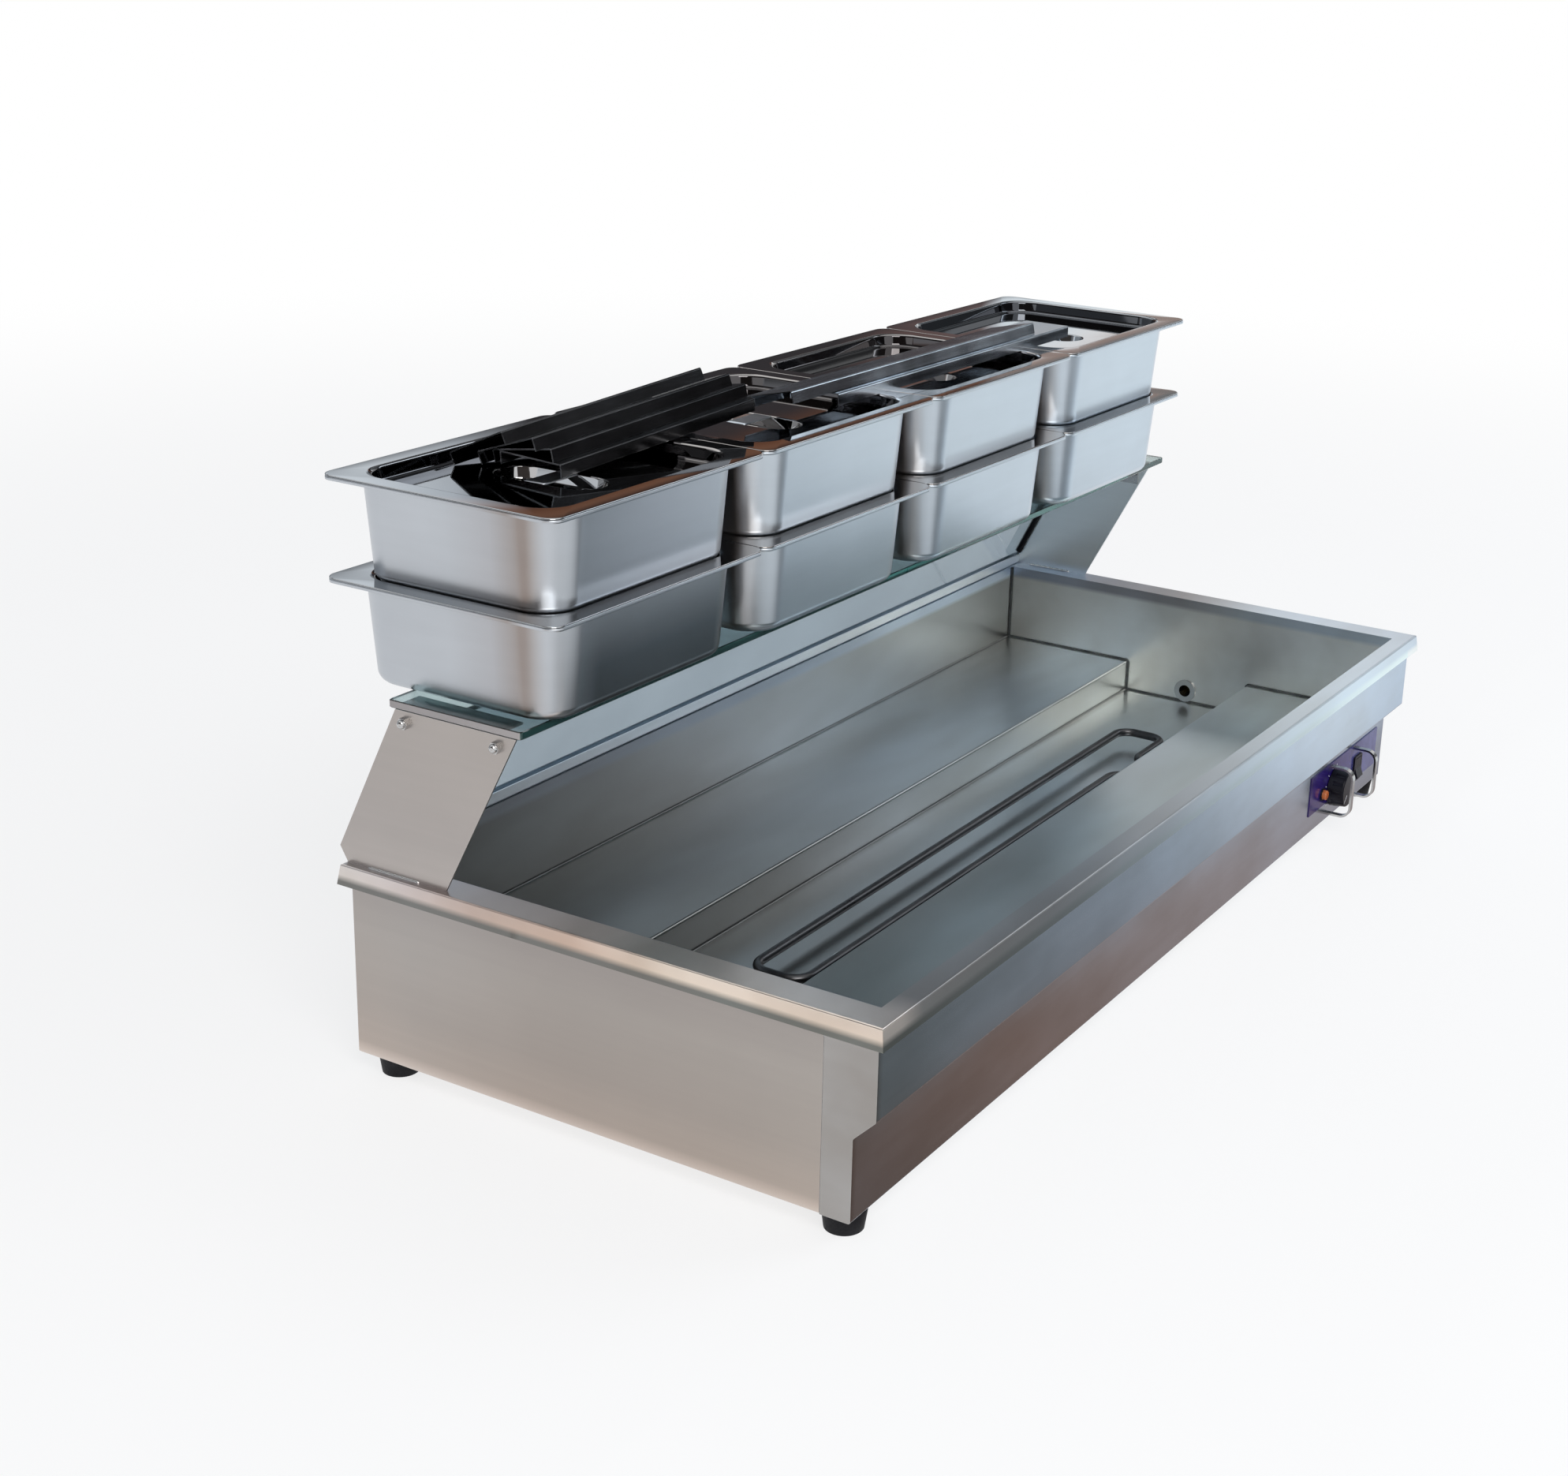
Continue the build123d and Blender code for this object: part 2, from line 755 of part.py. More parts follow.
rocker_plane = Plane(
    origin=(switch_x, rocker_pivot_y, switch_z),
    x_dir=(0, -cos(radians(rocker_angle)), sin(radians(rocker_angle))),
    z_dir=(1, 0, 0),
)
rocker_tip = rocker_pin_sink + rocker_radius * tan(radians(rocker_angle))
with BuildPart() as switch_rocker:
    with BuildSketch(rocker_plane):
        Circle(rocker_radius)
        with BuildLine():
            Polyline(
                (rocker_pin_sink, 0),
                (rocker_tip, rocker_radius),
                (2 * rocker_radius, rocker_radius),
                (2 * rocker_radius, -rocker_radius),
                (rocker_tip, -rocker_radius),
                close=True,
            )
        make_face(mode=Mode.SUBTRACT)
    extrude(amount=pocket_width / 2 - rocker_gap, both=True)
    with BuildSketch(rocker_plane):
        Circle(rocker_pin_radius)
    extrude(amount=pocket_width / 2 - rocker_gap + rocker_pin_length, both=True)
switch_rocker.part.label = "switch_rocker"
export_step(switch_rocker.part, "parts/switch_rocker.step")

# Strip hoops that guard knob and switch, studded through the panel
for x, guard_name in zip(guard_spots, ("knob_guard", "switch_guard")):
    with BuildPart() as guard:
        with BuildSketch(Plane.YZ.offset(x)):
            with BuildLine():
                FilletPolyline(
                    (front_face, guard_low),
                    (front_face - guard_reach, guard_low),
                    (front_face - guard_reach, guard_high),
                    (plate_face, guard_high),
                    radius=guard_bend,
                )
                offset(amount=guard_sheet, side=Side.RIGHT)
            make_face()
        extrude(amount=guard_width / 2, both=True)
        with BuildSketch(Plane.XZ.offset(-front_face)):
            with Locations((x, guard_low + guard_sheet / 2)):
                Circle(guard_stud_radius)
        extrude(amount=-sheet - guard_stud_length)
        with BuildSketch(Plane.XZ.offset(-plate_face)):
            with Locations((x, guard_high - guard_sheet / 2)):
                Circle(guard_stud_radius)
        extrude(amount=-plate_sheet - sheet - guard_stud_length)
    guard.part.label = guard_name
    export_step(guard.part, f"parts/{guard_name}.step")

with BuildPart() as guard_nuts:
    with BuildSketch(Plane.XZ.offset(-front_inside)):
        with Locations(*guard_holes):
            RegularPolygon(guard_nut_flats, 6, major_radius=False)
            Circle(guard_stud_radius + gland_fit, mode=Mode.SUBTRACT)
    extrude(amount=-guard_nut)
guard_nuts.part.label = "guard_nuts"
export_step(guard_nuts.part, "parts/guard_nuts.step")

# Supply entry gland, its locknut and the terminal block inside
with BuildPart() as cable_gland:
    with BuildSketch(Plane.YZ.offset(casing_x)):
        with Locations((entry_y, entry_z)):
            RegularPolygon(entry_flats, 6, major_radius=False)
    extrude(amount=entry_hex)
    with BuildSketch(Plane.YZ.offset(casing_x + entry_hex)):
        with Locations((entry_y, entry_z)):
            Circle(entry_dome_radius)
    extrude(amount=entry_dome, taper=entry_dome_draft)
    with BuildSketch(Plane.YZ.offset(casing_x)):
        with Locations((entry_y, entry_z)):
            Circle(entry_thread_radius)
    extrude(amount=-sheet - entry_thread)
    with BuildSketch(Plane.YZ.offset(casing_x - sheet - entry_thread)):
        with Locations((entry_y, entry_z)):
            Circle(entry_bore_radius)
    extrude(amount=sheet + entry_thread + entry_hex + entry_dome, mode=Mode.SUBTRACT)
cable_gland.part.label = "cable_gland"
export_step(cable_gland.part, "parts/cable_gland.step")

with BuildPart() as gland_locknut:
    with BuildSketch(Plane.YZ.offset(casing_x - sheet)):
        with Locations((entry_y, entry_z)):
            RegularPolygon(entry_flats, 6, major_radius=False)
            Circle(entry_thread_radius + gland_fit, mode=Mode.SUBTRACT)
    extrude(amount=-entry_nut)
gland_locknut.part.label = "gland_locknut"
export_step(gland_locknut.part, "parts/gland_locknut.step")

block_x = casing_x - block_margin
with BuildPart() as terminal_block:
    with BuildSketch(Plane.XY.offset(base_top)):
        with Locations((block_x, block_y)):
            Rectangle(block_length, block_width)
    extrude(amount=block_height)
    with Locations((block_x, block_y, base_top + block_height)):
        with GridLocations(block_length / block_poles, 0, block_poles, 1):
            Hole(block_screw_radius, block_screw_depth)
terminal_block.part.label = "terminal_block"
export_step(terminal_block.part, "parts/terminal_block.step")

# Drain: flanged pipe through the end wall, locknut, ball valve, lever and spout
drain_axis = Axis((half_opening, trough_shift, drain_z), (1, 0, 0))
drain_plane = Plane(
    origin=(half_opening, trough_shift, drain_z), x_dir=(1, 0, 0), z_dir=(0, -1, 0)
)
drain_end = casing_x - half_opening + drain_stub
with BuildPart() as drain_pipe:
    with BuildSketch(drain_plane):
        with BuildLine():
            Polyline(
                (-drain_flange, drain_bore_radius),
                (-drain_flange, drain_flange_radius),
                (0, drain_flange_radius),
                (0, drain_pipe_radius),
                (drain_end, drain_pipe_radius),
                (drain_end, drain_bore_radius),
                close=True,
            )
        make_face()
    revolve(axis=drain_axis)
drain_pipe.part.label = "drain_pipe"
export_step(drain_pipe.part, "parts/drain_pipe.step")

with BuildPart() as drain_locknut:
    with BuildSketch(Plane.YZ.offset(half_opening + sheet)):
        with Locations((trough_shift, drain_z)):
            RegularPolygon(drain_nut_flats, 6, major_radius=False)
            Circle(drain_pipe_radius + gland_fit, mode=Mode.SUBTRACT)
    extrude(amount=drain_nut)
drain_locknut.part.label = "drain_locknut"
export_step(drain_locknut.part, "parts/drain_locknut.step")

valve_x = half_opening + drain_end
valve_mid = valve_x + valve_length / 2
neck_top = drain_z + valve_radius + valve_neck_rise
with BuildPart() as drain_valve_body:
    with BuildSketch(drain_plane):
        with BuildLine():
            Polyline(
                (drain_end, 0),
                (drain_end, valve_end_radius),
                (drain_end + valve_end, valve_end_radius),
                (drain_end + valve_end, valve_radius),
                (drain_end + valve_length - valve_end, valve_radius),
                (drain_end + valve_length - valve_end, valve_end_radius),
                (drain_end + valve_length, valve_end_radius),
                (drain_end + valve_length, 0),
                close=True,
            )
        make_face()
    revolve(axis=drain_axis)
    with BuildSketch(Plane.XY.offset(drain_z)):
        with Locations((valve_mid, trough_shift)):
            Circle(valve_neck_radius)
    extrude(amount=neck_top - drain_z)
    with BuildSketch(Plane.YZ.offset(valve_x)):
        with Locations((trough_shift, drain_z)):
            Circle(drain_bore_radius)
    extrude(amount=valve_length, mode=Mode.SUBTRACT)
    with BuildSketch(Plane.XY.offset(drain_z)):
        with Locations((valve_mid, trough_shift)):
            Circle(stem_radius + stem_run)
    extrude(amount=neck_top - drain_z, mode=Mode.SUBTRACT)
    with Locations((valve_mid, trough_shift, drain_z)):
        Sphere(ball_radius + ball_gap, mode=Mode.SUBTRACT)
drain_valve_body.part.label = "drain_valve_body"
export_step(drain_valve_body.part, "parts/drain_valve_body.step")

# The ball is stored closed, its bore across the pipe, and turns with the stem
lever_under = neck_top + lever_gap
lever_top = lever_under + lever_sheet
with BuildPart() as drain_valve_ball:
    with Locations((valve_mid, trough_shift, drain_z)):
        Sphere(ball_radius)
    with BuildSketch(Plane.XZ.offset(-trough_shift)):
        with Locations((valve_mid, drain_z)):
            Circle(drain_bore_radius)
    extrude(amount=ball_radius, both=True, mode=Mode.SUBTRACT)
    with BuildSketch(Plane.XY.offset(drain_z + (drain_bore_radius + ball_radius) / 2)):
        with Locations((valve_mid, trough_shift)):
            Circle(stem_radius)
    extrude(amount=lever_top + stem_head_rise - drain_z - (drain_bore_radius + ball_radius) / 2)
drain_valve_ball.part.label = "drain_valve_ball"
export_step(drain_valve_ball.part, "parts/drain_valve_ball.step")

with BuildPart() as drain_lever:
    with BuildSketch(Plane.XY.offset(lever_under)):
        with Locations((valve_mid, trough_shift)):
            Circle(lever_hub_radius)
        with Locations((valve_mid, trough_shift - lever_length)):
            Circle(lever_tip_radius)
        make_hull()
        with Locations((valve_mid, trough_shift)):
            Circle(stem_radius + stem_run, mode=Mode.SUBTRACT)
    extrude(amount=lever_sheet)
drain_lever.part.label = "drain_lever"
export_step(drain_lever.part, "parts/drain_lever.step")

with BuildPart() as drain_spout:
    with BuildLine(drain_plane) as spout_route:
        bend = JernArc((drain_end + valve_length, 0), (1, 0), spout_bend, -90)
        Line(bend @ 1, bend @ 1 - Vector(0, 0, spout_drop))
    with BuildSketch(Plane.YZ.offset(valve_x + valve_length)):
        with Locations((trough_shift, drain_z)):
            Circle(drain_bore_radius + spout_wall)
            Circle(drain_bore_radius, mode=Mode.SUBTRACT)
    sweep()
drain_spout.part.label = "drain_spout"
export_step(drain_spout.part, "parts/drain_spout.step")

# Leaning shelf brackets, shelf angles and their bolts at both ends
bracket_outline = (
    (bracket_foot_front, rim_top),
    (bracket_foot_rear, rim_top),
    (bracket_foot_rear + bracket_toe_out, rim_top + bracket_toe_rise),
    (bracket_top_rear, bracket_top),
    (bracket_top_front, bracket_top),
)
for side, end_word in ((-1, "left"), (1, "right")):
    with BuildPart() as bracket:
        with BuildSketch(Plane.YZ.offset(side * bracket_face)):
            with BuildLine():
                Polyline(*bracket_outline, close=True)
            make_face()
            with Locations(*bolt_spots):
                Circle(bolt_radius + screw_clearance, mode=Mode.SUBTRACT)
        extrude(amount=-side * bracket_sheet)
    bracket.part.label = f"{end_word}_bracket"
    export_step(bracket.part, f"parts/{end_word}_bracket.step")

with BuildPart() as shelf_angles:
    for side in (-1, 1):
        with BuildSketch(Plane.XZ.offset(-angle_rear)):
            with BuildLine():
                FilletPolyline(
                    (side * bracket_inside, bracket_top - angle_leg),
                    (side * bracket_inside, bracket_top),
                    (side * (bracket_inside - angle_leg), bracket_top),
                    radius=panel_fold,
                )
                offset(amount=angle_sheet, side=Side.RIGHT if side < 0 else Side.LEFT)
            make_face()
        extrude(amount=angle_rear - angle_front)
        with BuildSketch(Plane.YZ.offset(side * bracket_inside)):
            with Locations(*bolt_spots):
                Circle(bolt_radius + screw_clearance)
        extrude(amount=-side * angle_sheet, mode=Mode.SUBTRACT)
shelf_angles.part.label = "shelf_angles"
export_step(shelf_angles.part, "parts/shelf_angles.step")

with BuildPart() as bracket_bolts:
    for side in (-1, 1):
        head_face = Plane.YZ.offset(side * (bracket_inside - angle_sheet))
        with BuildSketch(head_face):
            with Locations(*bolt_spots):
                Circle(bolt_head_radius)
        extrude(amount=-side * bolt_head)
        with BuildSketch(head_face):
            with Locations(*bolt_spots):
                Circle(bolt_radius)
        extrude(amount=side * (angle_sheet + bracket_sheet + cap_nut))
bracket_bolts.part.label = "bracket_bolts"
export_step(bracket_bolts.part, "parts/bracket_bolts.step")

with BuildPart() as cap_nuts:
    for side in (-1, 1):
        with BuildSketch(Plane.YZ.offset(side * bracket_face)):
            with Locations(*bolt_spots):
                RegularPolygon(cap_nut_flats, 6, major_radius=False)
        extrude(amount=side * cap_nut)
    with Locations(
        *[(side * (bracket_face + cap_nut), y, z) for side in (-1, 1) for y, z in bolt_spots]
    ):
        Sphere(cap_dome_radius)
    for side in (-1, 1):
        with BuildSketch(Plane.YZ.offset(side * bracket_face)):
            with Locations(*bolt_spots):
                Circle(bolt_radius + gland_fit)
        extrude(amount=side * (cap_nut + gland_fit), mode=Mode.SUBTRACT)
cap_nuts.part.label = "cap_nuts"
export_step(cap_nuts.part, "parts/cap_nuts.step")

# Glass shelf on the brackets, flush at the left and overhanging at the right
with BuildPart() as glass_shelf:
    with BuildSketch(Plane.XY.offset(bracket_top)):
        with Locations((-bracket_face, shelf_front)):
            Rectangle(2 * bracket_face + shelf_overhang, shelf_depth, align=Align.MIN)
    extrude(amount=shelf_sheet)
    chamfer(glass_shelf.edges(), shelf_edge)
glass_shelf.part.label = "glass_shelf"
export_step(glass_shelf.part, "parts/glass_shelf.step")

# Rear glass leaning with the brackets, its foot in a channel on the rear rim
with BuildPart() as glass_channel:
    with BuildSketch(Plane.YZ):
        with BuildLine():
            FilletPolyline(
                (bracket_foot_rear, rim_top + channel_height),
                (bracket_foot_rear, rim_top),
                (bracket_foot_rear - channel_width, rim_top),
                (bracket_foot_rear - channel_width, rim_top + channel_height),
                radius=channel_fold,
            )
            offset(amount=channel_sheet, side=Side.RIGHT)
        make_face()
    extrude(amount=bracket_inside - seam_gap, both=True)
glass_channel.part.label = "glass_channel"
export_step(glass_channel.part, "parts/glass_channel.step")

lean = atan2(
    bracket_foot_rear + bracket_toe_out - bracket_top_rear,
    bracket_height - bracket_toe_rise,
)
glass_low = rim_top + channel_sheet + seat_gap
glass_high = bracket_top - guard_glass_top_gap
glass_slope = (glass_high - glass_low - guard_glass_sheet * sin(lean)) / cos(lean)
glass_mid_z = (glass_low + glass_high) / 2
channel_mid_z = rim_top + (channel_height + channel_sheet) / 2
glass_mid_y = bracket_foot_rear - channel_width / 2 - (glass_mid_z - channel_mid_z) * tan(lean)
with BuildPart() as guard_glass:
    with BuildSketch(Plane.YZ):
        with Locations((glass_mid_y, glass_mid_z)):
            Rectangle(guard_glass_sheet, glass_slope, rotation=degrees(lean))
    extrude(amount=bracket_inside - seal_sheet, both=True)
guard_glass.part.label = "guard_glass"
export_step(guard_glass.part, "parts/guard_glass.step")

with BuildPart() as glass_seals:
    for side in (-1, 1):
        with BuildSketch(Plane.YZ.offset(side * bracket_inside)):
            with Locations((glass_mid_y, glass_mid_z)):
                Rectangle(seal_width, glass_slope - 2 * seal_inset, rotation=degrees(lean))
        extrude(amount=-side * seal_sheet)
glass_seals.part.label = "glass_seals"
export_step(glass_seals.part, "parts/glass_seals.step")

# Pan form, drawn with its rim top at zero
rim_outer_length = pan_length - pan_gap
body_length = rim_outer_length - 2 * pan_land
body_width = pan_width - 2 * pan_land
with BuildPart() as pan_hollow:
    with BuildSketch():
        RectangleRounded(
            body_length - 2 * pan_sheet, body_width - 2 * pan_sheet, pan_corner - pan_sheet
        )
    extrude(amount=pan_sheet - pan_depth, taper=pan_draft)
    fillet(pan_hollow.edges().group_by(Axis.Z)[0], pan_bottom_radius - pan_sheet)

with BuildPart() as pan_form:
    with BuildSketch():
        RectangleRounded(body_length, body_width, pan_corner)
    extrude(amount=-pan_depth, taper=pan_draft)
    fillet(pan_form.edges().group_by(Axis.Z)[0], pan_bottom_radius)
    with BuildSketch():
        RectangleRounded(rim_outer_length, pan_width, pan_rim_corner)
    extrude(amount=-pan_sheet)
    with BuildSketch():
        RectangleRounded(rim_outer_length, pan_width, pan_rim_corner)
        RectangleRounded(
            rim_outer_length - 2 * pan_sheet,
            pan_width - 2 * pan_sheet,
            pan_rim_corner - pan_sheet,
            mode=Mode.SUBTRACT,
        )
    extrude(amount=-pan_edge)
    add(pan_hollow.part, mode=Mode.SUBTRACT)

# Recess mouth of a lid: the width of a pan's rounded bottom at the seating height, plus a gap
draft = radians(pan_draft)
seat_inset = (
    pan_depth * tan(draft)
    - pan_bottom_radius * tan(draft)
    + pan_bottom_radius / cos(draft)
    - sqrt(pan_bottom_radius**2 - (pan_bottom_radius - lid_seat) ** 2)
)
mouth_length = body_length - 2 * seat_inset + 2 * seat_gap
mouth_width = body_width - 2 * seat_inset + 2 * seat_gap
mouth_corner = pan_corner - seat_inset + seat_gap

# Lid form, drawn with its underside on the pan's rim at zero
panel_top = lid_sheet - lid_recess
with BuildPart() as lid_form:
    with BuildSketch():
        RectangleRounded(rim_outer_length, pan_width, pan_rim_corner)
    extrude(amount=lid_sheet)
    with BuildSketch(Plane.XY.offset(lid_sheet)):
        RectangleRounded(
            mouth_length + 2 * lid_sheet, mouth_width + 2 * lid_sheet, mouth_corner + lid_sheet
        )
    extrude(amount=-lid_recess - lid_sheet, taper=lid_draft)
    with BuildSketch(Plane.XY.offset(lid_sheet)):
        RectangleRounded(mouth_length, mouth_width, mouth_corner)
    extrude(amount=-lid_recess, taper=lid_draft, mode=Mode.SUBTRACT)
    with BuildSketch(Plane.XY.offset(panel_top)):
        SlotOverall(grip_length + 2 * lid_sheet, grip_width + 2 * lid_sheet, rotation=90)
    extrude(amount=-grip_depth - lid_sheet, taper=grip_draft)
    with BuildSketch(Plane.XY.offset(panel_top)):
        SlotOverall(grip_length, grip_width, rotation=90)
    extrude(amount=-grip_depth, taper=grip_draft, mode=Mode.SUBTRACT)
    with BuildSketch(Plane.XY.offset(panel_top)):
        Rectangle(grip_width + lid_sheet, strap_width)
    extrude(amount=-strap_sheet)

# Two tiers of pans with lids, the upper pans seated in the lower lids
stack_y = stack_front + pan_width / 2
for tier, pan_z in (("lower", lower_rim), ("upper", upper_rim)):
    for column in range(columns):
        column_x = stack_left + (column + 0.5) * pan_length
        with BuildPart() as pan:
            with Locations((column_x, stack_y, pan_z)):
                add(pan_form.part)
        pan.part.label = f"{tier}_pan_{column + 1}"
        export_step(pan.part, f"parts/{tier}_pan_{column + 1}.step")
        with BuildPart() as lid:
            with Locations((column_x, stack_y, pan_z)):
                add(lid_form.part)
        lid.part.label = f"{tier}_lid_{column + 1}"
        export_step(lid.part, f"parts/{tier}_lid_{column + 1}.step")



def nest_bars(web, steps, slides):
    """Places of bars nested on one another, from their front top corners.

    Each front lip stands on the web below, a step behind that web's front edge, and each
    rear lip stands on the ground, so the tilt follows from the height of the front lip.
    """
    places = []
    stand_y, stand_z = bar_sheet, 0.0
    for step, slide in zip((*steps, 0.0), slides):
        tilt = asin(stand_z / (web - bar_sheet))
        corner_y = stand_y + bar_lip * sin(tilt) - bar_sheet * cos(tilt)
        corner_z = stand_z + bar_lip * cos(tilt) + bar_sheet * sin(tilt)
        places.append(Location((corner_y, corner_z, slide), (0, 0, -degrees(tilt))))
        stand_y = corner_y + step * cos(tilt)
        stand_z = corner_z - step * sin(tilt) + seat_gap
    return places


# Long folded bars, lips down, lying on the lands between the upper lids
long_start = Plane(
    origin=(stack_left + pan_length + long_bar_start, stack_front + long_bar_inset, upper_lid_top),
    x_dir=(0, 1, 0),
    z_dir=(1, 0, 0),
)
with BuildPart() as long_bars:
    for place in nest_bars(long_bar_web, long_bar_steps, long_bar_slides):
        with BuildSketch(long_start * place):
            with BuildLine():
                FilletPolyline(
                    (0, -bar_lip), (0, 0), (long_bar_web, 0), (long_bar_web, -bar_lip), radius=bar_fold
                )
                offset(amount=bar_sheet, side=Side.RIGHT)
            make_face()
        extrude(amount=long_bar_length)
long_bars.part.label = "long_bars"
export_step(long_bars.part, "parts/long_bars.step")

# Short bars: dropped into the first lid's recess at the left, tipped over its mouth
skew = radians(short_bar_skew)
short_left = stack_left + short_bar_offset
mouth_right = stack_left + pan_length / 2 + mouth_length / 2
short_places = nest_bars(short_bar_web, short_bar_steps, short_bar_slides)
bundle_depth = short_places[-1].position.X + short_bar_web
tip_run = (mouth_right - short_left + bundle_depth * min(sin(skew), 0)) / cos(skew)
tip = atan2(lid_recess, tip_run)
short_start = Plane(
    origin=(short_left, stack_front + short_bar_inset, upper_lid_top - lid_recess + seat_gap),
    x_dir=(-sin(skew), cos(skew), 0),
    z_dir=(cos(tip) * cos(skew), cos(tip) * sin(skew), sin(tip)),
)
with BuildPart() as short_bars:
    for place in short_places:
        with BuildSketch(short_start * place):
            with BuildLine():
                FilletPolyline(
                    (0, -bar_lip), (0, 0), (short_bar_web, 0), (short_bar_web, -bar_lip), radius=bar_fold
                )
                offset(amount=bar_sheet, side=Side.RIGHT)
            make_face()
        extrude(amount=short_bar_length)
short_bars.part.label = "short_bars"
export_step(short_bars.part, "parts/short_bars.step")
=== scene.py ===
import math

import bpy
import numpy as np
from mathutils import Matrix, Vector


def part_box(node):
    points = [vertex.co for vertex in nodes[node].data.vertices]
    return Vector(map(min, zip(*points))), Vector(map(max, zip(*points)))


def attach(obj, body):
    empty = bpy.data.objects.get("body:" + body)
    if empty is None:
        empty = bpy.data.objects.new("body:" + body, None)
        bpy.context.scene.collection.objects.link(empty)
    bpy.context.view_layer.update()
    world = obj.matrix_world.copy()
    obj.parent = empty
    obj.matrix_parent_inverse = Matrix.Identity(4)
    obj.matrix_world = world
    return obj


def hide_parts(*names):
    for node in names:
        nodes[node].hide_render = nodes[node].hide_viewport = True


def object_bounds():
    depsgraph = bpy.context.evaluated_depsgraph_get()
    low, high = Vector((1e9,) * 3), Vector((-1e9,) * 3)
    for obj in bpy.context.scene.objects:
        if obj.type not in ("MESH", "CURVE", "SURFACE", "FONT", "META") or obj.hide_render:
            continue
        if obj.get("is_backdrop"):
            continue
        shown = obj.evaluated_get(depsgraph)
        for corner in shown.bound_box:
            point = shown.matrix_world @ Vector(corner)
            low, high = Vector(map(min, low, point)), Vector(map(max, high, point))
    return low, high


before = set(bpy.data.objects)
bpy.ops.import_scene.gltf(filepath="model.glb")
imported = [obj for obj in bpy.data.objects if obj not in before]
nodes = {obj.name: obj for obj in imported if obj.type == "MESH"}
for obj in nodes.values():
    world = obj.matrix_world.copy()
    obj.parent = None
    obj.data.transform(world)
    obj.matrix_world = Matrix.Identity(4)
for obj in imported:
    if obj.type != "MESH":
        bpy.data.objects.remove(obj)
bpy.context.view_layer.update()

# Looks of the bain-marie food warmer. X along the length, controls towards -Y, Z up.
# Shapes are worked out in millimetres. Coats, studio and camera are in metres.

mm = 0.001

# Drawn pans and lids: the sizes of the solids, with the small rounded edges that the sheet has
pan_half = np.array([162.0, 132.5])
pan_corner, pan_mouth_corner, pan_least_corner = 14.0, 44.0, 3.0
pan_land = 15.0
pan_depth = 99.0
pan_draft = math.radians(4.6)
pan_floor_radius, pan_floor_run = 11.0, 15.0
pan_edge_drop, pan_edge_radius, pan_edge_start = 3.5, 1.5, 0.5
pan_lip_radius = 3.0
pan_sheet = 0.9
lid_mouth_inset, lid_mouth_corner = 22.427, 36.573
lid_draft = math.radians(10.0)
lid_depth = 14.0
lid_lip_radius, lid_floor_radius, lid_edge_radius = 3.0, 4.0, 0.8
lid_edge_low, lid_edge_high = 0.1, 0.3
lid_sheet, lid_skin = 1.2, 1.0
cup_half = np.array([25.0, 60.0])
cup_depth = 14.0
cup_draft = math.radians(15.0)
cup_lip_radius, cup_floor_radius, cup_floor_run = 2.0, 4.0, 6.0
cup_flat, cup_least_corner = 0.01, 1.0
strap_half_length, strap_half_width, strap_half_sheet = 25.4, 11.0, 1.0
strap_edge, strap_rows = 0.9, 9

# Glass shelf
plate_corner, plate_arris, plate_clear = 3.0, 0.8, 0.15

# Weld beads: size, ripple from puddle to puddle, and place on the rim
bead_radius, bead_length = 1.6, 62.0
bead_rows, bead_sides = 90, 14
bead_puddle, bead_swell = 3.1, 0.22
bead_sway_rate, bead_sway = 0.7, 0.12
bead_end_power, bead_end_least = 16, 0.02
bead_rise, bead_rear_gap, bead_stagger = 0.4, 30.0, 8.0
bracket_sheet = 2.0

# Printed marks of the dial
tick_first, tick_last, tick_count = 225.0, -45.0, 10
tick_gap, tick_length, tick_half = 1.2, 3.4, 0.5
pointer_from, pointer_to, pointer_half = 0.35, 0.86, 0.8
mark_sheet, mark_sunk, mark_round = 0.15, 0.05, 0.6

# Points of an arc, and the directions at which arcs of a section begin and end
corner_points, lip_points, floor_points, edge_points = 12, 6, 9, 4
inward, upward, outward, downward = 0.0, 0.5 * math.pi, math.pi, 1.5 * math.pi


def rounded_rings(half_x, half_y, corner, height):
    """Rows of rounded rectangles: each corner is a quarter circle about a centre set in by its radius."""
    quarter = np.linspace(0.0, 0.5 * np.pi, corner_points)
    angle = (np.arange(4)[:, None] * 0.5 * np.pi + quarter).ravel()
    side_x = np.repeat([1, -1, -1, 1], corner_points)
    side_y = np.repeat([1, 1, -1, -1], corner_points)
    x = side_x * (half_x - corner)[:, None] + corner[:, None] * np.cos(angle)
    y = side_y * (half_y - corner)[:, None] + corner[:, None] * np.sin(angle)
    return np.stack([x, y, np.broadcast_to(height[:, None], x.shape)], axis=-1)


def grid_faces(rows, columns):
    """Quads between neighbouring rows, each row closed on itself."""
    index = np.arange(rows * columns).reshape(rows, columns)
    ahead = np.roll(index, -1, axis=1)
    return np.stack([index[:-1], ahead[:-1], ahead[1:], index[1:]], axis=-1).reshape(-1, 4)


